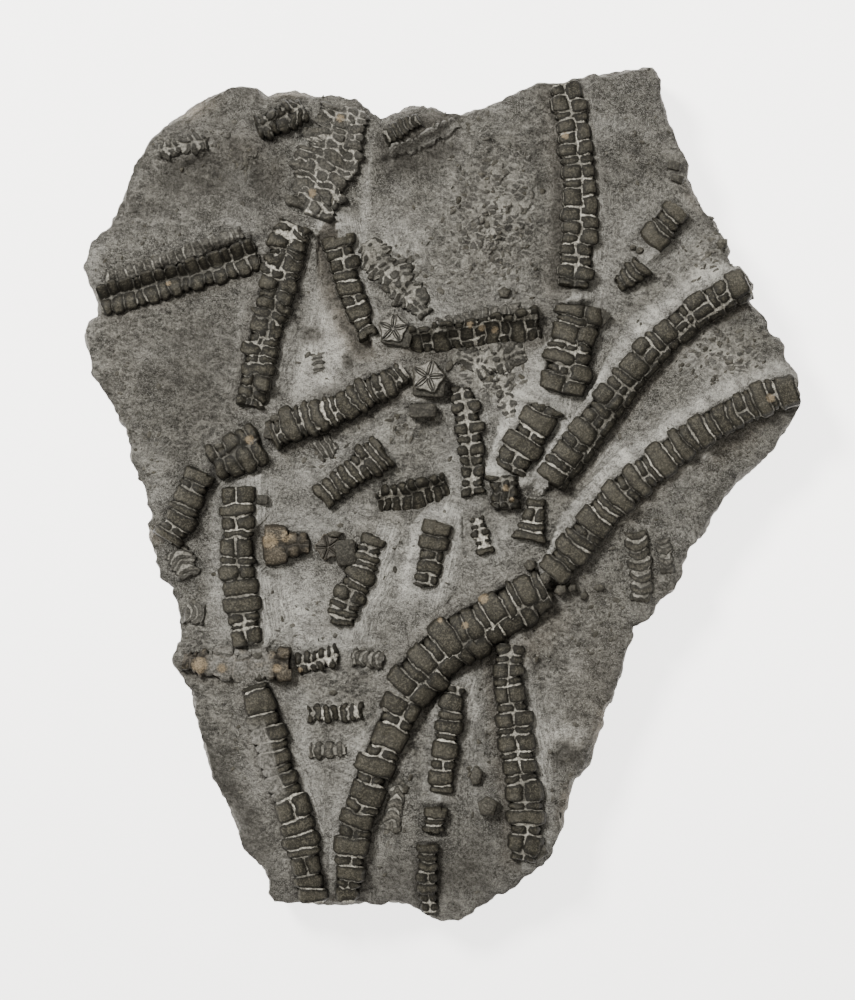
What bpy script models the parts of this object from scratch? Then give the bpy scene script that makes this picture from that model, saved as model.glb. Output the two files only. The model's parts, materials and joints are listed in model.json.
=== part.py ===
"""A broken limestone slab with crinoid stems and star ossicles lying in its upper face.

The slab rests on its flat underside at z = 0, with its relief upwards. Every stem length and every
loose ossicle is a solid of its own, seated in a shallow bed that is sunk into the slab.
"""

import math

import bmesh
import bpy
from mathutils import Vector, noise
from mathutils.geometry import delaunay_2d_cdt

# Driving dimensions, in metres.
GRID = 0.000209          # one unit of the layout grid that the routes below are counted in
GRID_MIDDLE = (443.4, 493.2)   # the grid point above the slab's origin; grid y runs towards the front
MATRIX_LEVEL = 0.0150    # usual height of the stone between the stems
STEM_RISE = 0.0035       # how far a full-width stem stands above the stone beside it
STEM_FOOT = 0.0128       # height of every stem's underside
FIT_GAP = 0.0003         # gap between a stem and the bed that it lies in
SLAB_TOP = 0.0200        # nothing stands higher than this
FULL_WIDTH = 0.0077      # width of a well-preserved stem
RIB_PITCH = 0.0038       # one thick columnal with its suture
THIN_SHARE = 0.55        # length of every second columnal against its neighbour
SUTURE_WAIST = 0.90      # width at a suture against the width at a columnal's middle
FURROW_DEPTH = 0.0007    # depth of the groove along the crest of a star-shaped stem
TERRAIN_STEP = 0.0064    # spacing of the points that shape the stone's surface
BED_STEP = 0.0062        # spacing of a bed's corners along its stem
EDGE_DROP = 0.0012       # how far the broken rim lies below the surface beside it

# The broken edge, clockwise seen from above.
OUTLINE = (
    (85, 265), (92, 241), (105, 228), (113, 215), (124, 195), (128, 180), (140, 158), (148, 141),
    (163, 123), (180, 112), (195, 101), (204, 94), (230, 85), (243, 83), (256, 86), (266, 93), (293, 89),
    (315, 95), (327, 94), (338, 98), (357, 99), (366, 107), (380, 117), (396, 112), (412, 104), (427, 108),
    (434, 106), (450, 114), (470, 111), (488, 103), (505, 97), (522, 89), (542, 82), (568, 80), (582, 76),
    (605, 73), (630, 69), (652, 64), (657, 66), (661, 86), (667, 120), (680, 145), (690, 160), (688, 174),
    (700, 200), (716, 220), (719, 232), (731, 247), (728, 256), (731, 266), (739, 266), (752, 284),
    (750, 300), (761, 312), (770, 332), (784, 339), (787, 349), (785, 357), (790, 366), (800, 369),
    (799, 388), (802, 402), (790, 422), (773, 450), (762, 463), (745, 477), (727, 497), (709, 524),
    (706, 531), (690, 546), (687, 560), (676, 588), (658, 605), (650, 618), (634, 626), (632, 641),
    (618, 680), (615, 698), (606, 712), (598, 742), (588, 770), (574, 780), (564, 815), (564, 828),
    (552, 848), (550, 860), (534, 871), (506, 892), (472, 912), (457, 924), (440, 923), (424, 917),
    (411, 906), (370, 905), (322, 908), (296, 905), (273, 904), (270, 887), (262, 867), (250, 857),
    (240, 841), (234, 822), (213, 778), (204, 752), (195, 712), (192, 691), (177, 670), (173, 661),
    (177, 646), (181, 644), (178, 606), (173, 588), (162, 578), (156, 555), (148, 538), (148, 523),
    (151, 517), (147, 494), (140, 480), (130, 456), (125, 428), (105, 392), (93, 376), (86, 344),
    (84, 324), (96, 316), (96, 300),
)

# Each stem's route: (grid x, grid y, width in grid units) along its middle.
STEMS = {
    "main_stem_right": (
        (788, 390, 33), (775, 394, 37), (750, 405, 37), (725, 418, 37), (700, 432, 37), (680, 447, 37),
        (660, 463, 38), (640, 479, 38), (620, 496, 39), (603, 514, 39), (588, 532, 39), (574, 550, 38),
        (557, 570, 34)),
    "main_stem_middle": (
        (538, 594, 46), (515, 606, 52), (490, 621, 54), (466, 636, 56), (445, 652, 56), (426, 670, 54),
        (409, 690, 50)),
    "main_stem_lower": (
        (404, 704, 40), (392, 730, 40), (378, 760, 37), (367, 790, 37), (357, 820, 35), (351, 850, 33),
        (348, 880, 31), (347, 898, 31)),
    "upper_right_stem": (
        (738, 288, 33), (720, 297, 36), (695, 313, 36), (672, 333, 36), (650, 354, 36), (632, 374, 36),
        (615, 396, 37), (600, 416, 38), (583, 438, 40), (565, 462, 40), (549, 486, 36)),
    "top_right_stem": (
        (566, 88, 34), (571, 110, 36), (577, 150, 37), (580, 200, 37), (578, 250, 38), (572, 291, 36)),
    "elbow_stem_upper": ((581, 303, 46), (578, 325, 50), (572, 347, 50), (566, 370, 50), (561, 391, 46)),
    "elbow_stem_lower": ((548, 404, 40), (540, 420, 40), (527, 441, 40), (510, 467, 40)),
    "crushed_knob": ((504, 479, 33), (504, 510, 30)),
    "left_slant_stem": ((99, 301, 34), (180, 279, 35), (252, 256, 34)),
    "top_left_stem": ((337, 107, 44), (333, 150, 54), (332, 207, 46)),
    "upper_left_stem": (
        (298, 220, 36), (290, 240, 42), (283, 268, 42), (275, 300, 42), (266, 330, 38), (259, 360, 38),
        (249, 411, 34)),
    "inner_curved_stem": ((337, 233, 36), (343, 262, 32), (351, 292, 30), (360, 315, 27), (365, 327, 22)),
    "cross_stem": ((413, 341, 30), (450, 337, 32), (490, 331, 34), (538, 324, 35)),
    "long_left_stem_upper": (
        (399, 374, 28), (385, 384, 34), (362, 396, 36), (340, 408, 36), (318, 417, 38), (295, 425, 38),
        (273, 436, 36)),
    "long_left_stem_middle": ((260, 443, 38), (240, 452, 42), (214, 466, 38)),
    "long_left_stem_lower": ((200, 473, 34), (190, 495, 36), (178, 520, 34), (166, 539, 30)),
    "left_upright_stem": (
        (237, 489, 36), (237, 520, 37), (238, 560, 37), (241, 600, 38), (245, 625, 36), (247, 639, 34)),
    "left_cross_stem": ((190, 663, 33), (230, 665, 36), (287, 666, 34)),
    "left_cross_stem_tip": ((293, 667, 24), (342, 655, 23)),
    "left_foot_stem": (
        (256, 692, 34), (261, 706, 38), (266, 728, 38), (271, 748, 38), (277, 770, 38), (287, 796, 36),
        (294, 818, 36), (301, 840, 36), (306, 862, 34), (310, 884, 33), (311, 899, 32)),
    "centre_foot_stem_upper": ((455, 696, 22), (451, 712, 28), (447, 740, 28), (444, 765, 28), (441, 797, 27)),
    "centre_foot_stem_middle": ((435, 804, 26), (434, 837, 26)),
    "centre_foot_stem_lower": ((429, 842, 25), (428, 880, 25), (430, 908, 22)),
    "right_foot_stem": (
        (509, 658, 31), (508, 675, 36), (511, 700, 37), (517, 740, 38), (520, 770, 38), (526, 800, 38),
        (526, 835, 36), (522, 861, 28)),
    "ladder_stem": ((386, 447, 38), (366, 463, 38), (345, 480, 30), (318, 501, 30)),
    "arched_stem": ((374, 503, 28), (400, 498, 32), (425, 492, 34), (446, 483, 30)),
    "leaning_stem": ((440, 518, 34), (436, 535, 32), (430, 560, 30), (424, 591, 28)),
    "brown_ended_stem": ((260, 546, 38), (290, 545, 34), (313, 545, 28)),
    "short_barrel": ((341, 551, 22), (348, 553, 22)),
    "zigzag_stem": ((375, 532, 26), (367, 555, 28), (359, 578, 33), (347, 602, 34), (341, 629, 32)),
    "top_edge_stem": ((384, 138, 20), (402, 128, 22), (420, 119, 20)),
    "upper_left_stub": ((257, 129, 22), (283, 119, 28), (303, 109, 24)),
    "right_edge_stem": ((682, 204, 28), (668, 222, 33), (647, 246, 30)),
    "right_edge_stem_tip": ((645, 261, 28), (632, 275, 26), (616, 288, 16)),
    "centre_column": (
        (461, 382, 22), (464, 400, 30), (468, 425, 32), (471, 450, 31), (472, 475, 24), (474, 500, 22)),
    "centre_column_foot": ((476, 513, 17), (480, 530, 20), (487, 558, 20)),
    "heel_stem": ((537, 498, 20), (535, 512, 25), (530, 540, 36)),
    "rib_ladder": ((635, 528, 24), (640, 560, 26), (642, 590, 26), (640, 606, 22)),
    "low_stem": ((305, 714, 20), (335, 713, 20), (366, 713, 20)),
}

# Each ossicle: (grid x, grid y, radius in grid units, height above the stone in metres, turn in radians).
OSSICLES = {
    "star_ossicle": (393, 329, 16, 0.0033, 0.20),
    "star_ossicle_on_stack": (428, 377, 18, 0.0040, 0.05),
    "disc_ossicle": (328, 547, 11, 0.0024, 0.60),
}

# Rises and hollows of the stone: (grid x, grid y, reach in x, reach in y, height in metres).
RELIEF = (
    (170, 205, 80, 45, 0.0010), (180, 390, 70, 60, -0.0004), (410, 132, 42, 22, 0.0024),
    (440, 172, 30, 12, -0.0009), (480, 225, 55, 60, 0.0004), (625, 150, 34, 60, 0.0008),
    (545, 200, 9, 80, -0.0012), (700, 350, 45, 26, 0.0007), (745, 450, 40, 26, -0.0018),
    (690, 530, 30, 40, -0.0014), (570, 690, 34, 60, -0.0012), (567, 752, 14, 16, -0.0013),
    (220, 800, 26, 70, -0.0016), (410, 352, 44, 32, 0.0008), (600, 590, 14, 9, 0.0012),
    (487, 806, 13, 14, 0.0014), (722, 243, 10, 10, 0.0016), (760, 326, 11, 10, 0.0012),
    (504, 292, 9, 9, 0.0010), (402, 398, 20, 12, 0.0010), (275, 412, 12, 9, 0.0012),
    (318, 320, 22, 50, -0.0008), (330, 200, 30, 12, -0.0008), (150, 165, 34, 12, -0.0010),
    (490, 720, 12, 60, -0.0010), (400, 800, 14, 40, 0.0006), (320, 750, 24, 12, 0.0006),
    (600, 470, 22, 18, 0.0004), (380, 660, 22, 12, 0.0006), (120, 400, 20, 60, -0.0008),
)

# Stretches of rim that slope outwards: (grid x, grid y, reach in grid units, inward shift of the top rim).
WEATHERED_RIMS = (
    (192, 106, 26, 0.0020), (288, 92, 26, 0.0010), (697, 192, 14, 0.0010), (601, 730, 24, 0.0015),
    (566, 806, 22, 0.0013), (342, 906, 26, 0.0010), (745, 475, 26, 0.0010),
)

# The broken sides, from the rim down: (share of the height, outward shift, roughness), in metres.
SIDE_LEDGES = ((0.60, 0.0004, 0.0005), (0.22, -0.0006, 0.0006))
UNDERSIDE_INSET = 0.0022

STONE = (0.155, 0.150, 0.135)
DARK_CALCITE = (0.035, 0.032, 0.027)
BROWN_CALCITE = (0.085, 0.060, 0.040)
BROWN_PIECES = ("left_cross_stem", "brown_ended_stem", "disc_ossicle")


def clear_scene():
    for old in list(bpy.data.objects):
        bpy.data.objects.remove(old, do_unlink=True)


def make_material(name, colour, roughness):
    material = bpy.data.materials.new(name)
    material.use_nodes = True
    surface = material.node_tree.nodes["Principled BSDF"]
    surface.inputs["Base Color"].default_value = (*colour, 1.0)
    surface.inputs["Roughness"].default_value = roughness
    surface.inputs["Metallic"].default_value = 0.0
    return material


def make_object(name, shape, material):
    bmesh.ops.recalc_face_normals(shape, faces=shape.faces)
    mesh = bpy.data.meshes.new(name)
    shape.to_mesh(mesh)
    shape.free()
    mesh.materials.append(material)
    piece = bpy.data.objects.new(name, mesh)
    bpy.context.scene.collection.objects.link(piece)
    return piece


def on_slab(x, y):
    """A layout point as metres on the slab."""
    return Vector(((x - GRID_MIDDLE[0]) * GRID, (GRID_MIDDLE[1] - y) * GRID))


def stone_height(point):
    height = MATRIX_LEVEL
    for x, y, reach_x, reach_y, rise in RELIEF:
        away = point - on_slab(x, y)
        height += rise * math.exp(-((away.x / (reach_x * GRID)) ** 2) - (away.y / (reach_y * GRID)) ** 2)
    return height


def crest_height(point):
    return min(stone_height(point) + STEM_RISE, SLAB_TOP)


def smooth_route(route, steps=12):
    """A smooth curve through a route: a list of (Vector on the slab, width in metres)."""
    knots = [(*on_slab(x, y), width * GRID) for x, y, width in route]
    knots = [Vector(knot) for knot in knots]
    curve = []
    for index in range(len(knots) - 1):
        before = knots[max(index - 1, 0)]
        start, end = knots[index], knots[index + 1]
        after = knots[min(index + 2, len(knots) - 1)]
        for step in range(steps):
            t = step / steps
            curve.append(0.5 * (2 * start + (end - before) * t
                                + (2 * before - 5 * start + 4 * end - after) * t ** 2
                                + (3 * start - before - 3 * end + after) * t ** 3))
    curve.append(knots[-1])
    return [(Vector((knot.x, knot.y)), knot.z) for knot in curve]


def route_length(curve):
    return sum((b[0] - a[0]).length for a, b in zip(curve, curve[1:]))


def at_distance(curve, distance):
    """(point, direction, width) at a distance along a smooth route."""
    for (start, start_width), (end, end_width) in zip(curve, curve[1:]):
        length = (end - start).length
        if distance <= length:
            break
        distance -= length
    share = min(distance / length, 1.0)
    direction = (end - start).normalized()
    return start.lerp(end, share), direction, start_width + (end_width - start_width) * share


def columnal_stations(length):
    """Distances and width shares along a stem: wide at each columnal's middle, narrow at each suture."""
    pairs = max(1, round(length / (RIB_PITCH * (1 + THIN_SHARE))))
    thick = length / pairs / (1 + THIN_SHARE)
    thin = thick * THIN_SHARE
    stations = [(0.0, SUTURE_WAIST)]
    distance = 0.0
    for _ in range(pairs):
        stations.append((distance + thick * 0.5, 1.0))
        stations.append((distance + thick, SUTURE_WAIST))
        stations.append((distance + thick + thin * 0.5, 0.97))
        distance += thick + thin
        stations.append((distance, SUTURE_WAIST))
    return stations


def stem_section(point, direction, width, share):
    """One ring of a stem: foot, crest, furrow, crest and foot, from its left to its right."""
    across = Vector((-direction.y, direction.x))
    crest = crest_height(point)
    rise = min(1.0, width / FULL_WIDTH)
    crest = STEM_FOOT + (crest - STEM_FOOT) * (0.78 + 0.22 * rise) - (1 - share) * 0.0045
    profile = ((-0.5, STEM_FOOT), (-0.34, crest), (0.0, crest - FURROW_DEPTH), (0.34, crest), (0.5, STEM_FOOT))
    ring = []
    for offset, height in profile:
        spot = point + across * offset * width * share
        ring.append(Vector((spot.x, spot.y, height)))
    return ring


def make_stem(name, route, material):
    shape = bmesh.new()
    curve = smooth_route(route)
    length = route_length(curve)
    previous = None
    for distance, share in columnal_stations(length):
        point, direction, width = at_distance(curve, distance)
        ring = [shape.verts.new(corner) for corner in stem_section(point, direction, width, share)]
        if previous is None:
            shape.faces.new(ring)
        else:
            for index in range(len(ring)):
                following = (index + 1) % len(ring)
                shape.faces.new((previous[index], previous[following], ring[following], ring[index]))
        previous = ring
    shape.faces.new(previous)
    return make_object(name, shape, material)


def star_ring(ossicle, share, height, points=5):
    """A five-lobed ring: the radius swings between the lobes' tips and the notches."""
    x, y, radius, _, turn = ossicle
    middle = on_slab(x, y)
    ring = []
    for step in range(points * 4):
        angle = turn + 2 * math.pi * step / (points * 4)
        reach = radius * GRID * share * (0.90 + 0.10 * math.cos(points * (angle - turn)))
        ring.append(Vector((middle.x + reach * math.cos(angle), middle.y + reach * math.sin(angle), height)))
    return ring


def make_ossicle(name, ossicle, material):
    """A short star-sided column whose upper face holds five petals with furrows between them."""
    x, y, _, rise, _ = ossicle
    top = min(stone_height(on_slab(x, y)) + rise, SLAB_TOP)
    shape = bmesh.new()
    levels = ((0.96, STEM_FOOT), (1.0, top - 0.0012), (0.92, top - 0.0002))
    rings = [[shape.verts.new(corner) for corner in star_ring(ossicle, *level)] for level in levels]
    shape.faces.new(rings[0])
    for lower, upper in zip(rings, rings[1:]):
        for index in range(len(lower)):
            following = (index + 1) % len(lower)
            shape.faces.new((lower[index], lower[following], upper[following], upper[index]))
    petals = []
    for index, corner in enumerate(star_ring(ossicle, 0.5, top)):
        lift = 0.0003 if index % 4 == 0 else -0.0004 if index % 4 == 2 else 0.0
        petals.append(shape.verts.new(corner + Vector((0, 0, lift - 0.0003))))
    middle = shape.verts.new((*on_slab(x, y), top - 0.0006))
    for index in range(len(petals)):
        following = (index + 1) % len(petals)
        shape.faces.new((rings[-1][index], rings[-1][following], petals[following], petals[index]))
        shape.faces.new((petals[index], petals[following], middle))
    return make_object(name, shape, material)


def stem_bed(route):
    """The bed's outline around a stem, anticlockwise seen from above."""
    curve = smooth_route(route)
    length = route_length(curve)
    count = max(3, round(length / BED_STEP))
    left, right = [], []
    for step in range(count + 1):
        point, direction, width = at_distance(curve, length * step / count)
        across = Vector((-direction.y, direction.x))
        past_end = {0: -1, count: 1}.get(step, 0) * FIT_GAP * 1.3
        point = point + direction * past_end
        reach = width * 0.5 + FIT_GAP * 1.5
        left.append(point + across * reach)
        right.append(point - across * reach)
    return right + left[::-1]


def ossicle_bed(ossicle):
    x, y, radius, _, _ = ossicle
    middle = on_slab(x, y)
    reach = radius * GRID + FIT_GAP * 1.6
    angles = [2 * math.pi * step / 12 for step in range(12)]
    return [middle + Vector((math.cos(angle), math.sin(angle))) * reach for angle in angles]


def is_inside(point, loop):
    inside = False
    for start, end in zip(loop, loop[1:] + loop[:1]):
        if (start.y > point.y) != (end.y > point.y):
            if point.x < (end.x - start.x) * (point.y - start.y) / (end.y - start.y) + start.x:
                inside = not inside
    return inside


def distance_to_loop(point, loop):
    nearest = math.inf
    for start, end in zip(loop, loop[1:] + loop[:1]):
        along = end - start
        share = max(0.0, min(1.0, (point - start).dot(along) / along.length_squared))
        nearest = min(nearest, (point - start - along * share).length)
    return nearest


def rim_shift(point):
    """How far the top rim lies inside the outline here."""
    shift = 0.0
    for x, y, reach, amount in WEATHERED_RIMS:
        away = (point - on_slab(x, y)).length / (reach * GRID)
        shift += amount * math.exp(-away ** 2)
    return shift


def outward_at(loop, index):
    """The outward direction at a corner of an anticlockwise loop."""
    along = loop[(index + 1) % len(loop)] - loop[index - 1]
    return Vector((along.y, -along.x)).normalized()


def terrain_points(rim, beds):
    """Staggered points over the stone between the rim and the beds."""
    points = []
    rows = int(0.19 / TERRAIN_STEP)
    for row in range(-rows // 2, rows // 2 + 1):
        for column in range(-rows // 2, rows // 2 + 1):
            wobble = noise.noise_vector((row * 3.1, column * 2.7, 0.5)) * TERRAIN_STEP * 0.35
            point = Vector(((column + 0.5 * (row % 2)) * TERRAIN_STEP + wobble.x, row * TERRAIN_STEP + wobble.y))
            if not is_inside(point, rim) or distance_to_loop(point, rim) < TERRAIN_STEP * 0.4:
                continue
            if any(is_inside(point, bed) or distance_to_loop(point, bed) < TERRAIN_STEP * 0.3 for bed in beds):
                continue
            points.append(point)
    return points


def slab_surface(shape, rim, beds):
    """Meshes the upper face and returns the faces that lie inside a bed."""
    loops = [rim, *beds]
    corners = [point for loop in loops for point in loop]
    faces = []
    for loop in loops:
        start = sum(len(face) for face in faces)
        faces.append(list(range(start, start + len(loop))))
    corners += terrain_points(rim, beds)
    places, _, triangles, _, _, sources = delaunay_2d_cdt(corners, [], faces, 1, 1e-7)
    verts = []
    for place in places:
        roughness = noise.noise(Vector((place.x, place.y, 0.0)) * 260) * 0.0005
        drop = EDGE_DROP if distance_to_loop(place, rim) < 1e-6 else 0.0
        verts.append(shape.verts.new((place.x, place.y, stone_height(place) + roughness - drop)))
    bed_faces = []
    for triangle, source in zip(triangles, sources):
        face = shape.faces.new([verts[index] for index in triangle])
        if any(number > 0 for number in source):
            bed_faces.append(face)
    return bed_faces


def sink_beds(shape, bed_faces):
    """Extrudes the bed faces down to one flat floor below the stems' feet."""
    sunk = bmesh.ops.extrude_face_region(shape, geom=bed_faces)["geom"]
    bmesh.ops.delete(shape, geom=bed_faces, context="FACES")
    for part in sunk:
        if isinstance(part, bmesh.types.BMVert):
            part.co.z = STEM_FOOT - FIT_GAP


def drop_sides(shape, outline, rim):
    """Adds the broken sides below the rim and closes the flat underside."""
    ring = []
    for point in rim:
        ring.append(min(shape.verts, key=lambda vert: (vert.co.xy - point).length_squared))
    levels = [(share, shift, rough) for share, shift, rough in SIDE_LEDGES] + [(0.0, -UNDERSIDE_INSET, 0.0004)]
    for level, (share, shift, rough) in enumerate(levels):
        lower = []
        for index, point in enumerate(outline):
            wobble = noise.noise(Vector((point.x, point.y, level * 0.05)) * 180) * rough * 2
            spot = point + outward_at(outline, index) * (shift + wobble)
            lower.append(shape.verts.new((spot.x, spot.y, ring[index].co.z * share if level == 0
                                          else MATRIX_LEVEL * share)))
        for index in range(len(ring)):
            following = (index + 1) % len(ring)
            shape.faces.new((ring[index], ring[following], lower[following], lower[index]))
        ring = lower
    shape.faces.new(ring)


def make_slab(material):
    outline = [on_slab(x, y) for x, y in reversed(OUTLINE)]
    rim = [point - outward_at(outline, index) * rim_shift(point) for index, point in enumerate(outline)]
    beds = [stem_bed(route) for route in STEMS.values()]
    beds += [ossicle_bed(ossicle) for ossicle in OSSICLES.values()]
    shape = bmesh.new()
    bed_faces = slab_surface(shape, rim, beds)
    drop_sides(shape, outline, rim)
    sink_beds(shape, bed_faces)
    return make_object("limestone_slab", shape, material)


def main():
    clear_scene()
    dark = make_material("dark calcite", DARK_CALCITE, 0.42)
    brown = make_material("brown calcite", BROWN_CALCITE, 0.55)
    make_slab(make_material("grey limestone", STONE, 0.86))
    for name, route in STEMS.items():
        make_stem(name, route, brown if name in BROWN_PIECES else dark)
    for name, ossicle in OSSICLES.items():
        make_ossicle(name, ossicle, brown if name in BROWN_PIECES else dark)


main()
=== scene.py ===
import json
import math
import random

import bpy
import numpy as np
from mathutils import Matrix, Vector
from mathutils.bvhtree import BVHTree


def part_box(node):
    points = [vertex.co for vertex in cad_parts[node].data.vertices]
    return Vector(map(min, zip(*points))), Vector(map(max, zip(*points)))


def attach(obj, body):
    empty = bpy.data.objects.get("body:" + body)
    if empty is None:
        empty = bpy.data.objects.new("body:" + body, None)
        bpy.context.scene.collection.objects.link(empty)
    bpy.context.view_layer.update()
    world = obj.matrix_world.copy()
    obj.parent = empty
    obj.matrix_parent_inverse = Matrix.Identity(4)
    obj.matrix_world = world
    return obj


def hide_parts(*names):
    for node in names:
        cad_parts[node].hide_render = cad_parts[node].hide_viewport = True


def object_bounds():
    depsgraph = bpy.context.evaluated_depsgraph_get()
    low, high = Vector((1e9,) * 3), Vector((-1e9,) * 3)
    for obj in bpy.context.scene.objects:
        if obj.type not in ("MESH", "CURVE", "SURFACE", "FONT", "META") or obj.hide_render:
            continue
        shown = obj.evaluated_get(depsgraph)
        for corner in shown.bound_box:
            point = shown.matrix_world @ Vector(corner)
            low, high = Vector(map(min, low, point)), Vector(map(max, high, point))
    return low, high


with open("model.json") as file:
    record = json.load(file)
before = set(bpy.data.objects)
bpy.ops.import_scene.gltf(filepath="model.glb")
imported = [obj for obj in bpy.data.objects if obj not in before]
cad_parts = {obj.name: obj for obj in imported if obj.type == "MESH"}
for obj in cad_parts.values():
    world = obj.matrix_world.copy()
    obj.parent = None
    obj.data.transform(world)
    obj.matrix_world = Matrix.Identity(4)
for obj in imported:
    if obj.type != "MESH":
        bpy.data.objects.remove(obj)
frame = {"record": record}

cad_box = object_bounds()

# ---------------------------------------------------------------------------------------------
# Layout. Places are counted in grid units from the layout grid's corner, x to the right and y
# towards the front, as in the part's source; heights and sizes are in metres.
# ---------------------------------------------------------------------------------------------
GRID = 0.000209
GRID_MIDDLE = (443.4, 493.2)
MATRIX_LEVEL = 0.0150
STEM_RISE = 0.0035
STEM_FOOT = 0.0128
SLAB_TOP = cad_box[1][2] - 0.00005
FULL_WIDTH = 0.0077

OUTLINE = (
    (85, 265), (92, 241), (105, 228), (113, 215), (124, 195), (128, 180), (140, 158), (148, 141),
    (163, 123), (180, 112), (195, 101), (204, 94), (230, 85), (243, 83), (256, 86), (266, 93), (293, 89),
    (315, 95), (327, 94), (338, 98), (357, 99), (366, 107), (380, 117), (396, 112), (412, 104), (427, 108),
    (434, 106), (450, 114), (470, 111), (488, 103), (505, 97), (522, 89), (542, 82), (568, 80), (582, 76),
    (605, 73), (630, 69), (652, 64), (657, 66), (661, 86), (667, 120), (680, 145), (690, 160), (688, 174),
    (700, 200), (716, 220), (719, 232), (731, 247), (728, 256), (731, 266), (739, 266), (752, 284),
    (750, 300), (761, 312), (770, 332), (784, 339), (787, 349), (785, 357), (790, 366), (800, 369),
    (799, 388), (802, 402), (790, 422), (773, 450), (762, 463), (745, 477), (727, 497), (709, 524),
    (706, 531), (690, 546), (687, 560), (676, 588), (658, 605), (650, 618), (634, 626), (632, 641),
    (618, 680), (615, 698), (606, 712), (598, 742), (588, 770), (574, 780), (564, 815), (564, 828),
    (552, 848), (550, 860), (534, 871), (506, 892), (472, 912), (457, 924), (440, 923), (424, 917),
    (411, 906), (370, 905), (322, 908), (296, 905), (273, 904), (270, 887), (262, 867), (250, 857),
    (240, 841), (234, 822), (213, 778), (204, 752), (195, 712), (192, 691), (177, 670), (173, 661),
    (177, 646), (181, 644), (178, 606), (173, 588), (162, 578), (156, 555), (148, 538), (148, 523),
    (151, 517), (147, 494), (140, 480), (130, 456), (125, 428), (105, 392), (93, 376), (86, 344),
    (84, 324), (96, 316), (96, 300),
)

# Each stem: its route as (grid x, grid y, width), then how it is made up.
#   rows     the furrows that part its blocks into rows, across the stem from -1 to 1
#   pitch    length of a thick columnal in metres; thin is a thin one's share of that
#   pale     how much pale infill shows in the sutures; gap is the sutures' half width in metres
#   chevron  bends the sutures
#   rubble   how broken up the blocks are; rise is the height against a full stem
WHOLE_LENGTH = (-0.2, 1.2)   # from before a stem's start to past its end

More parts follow.
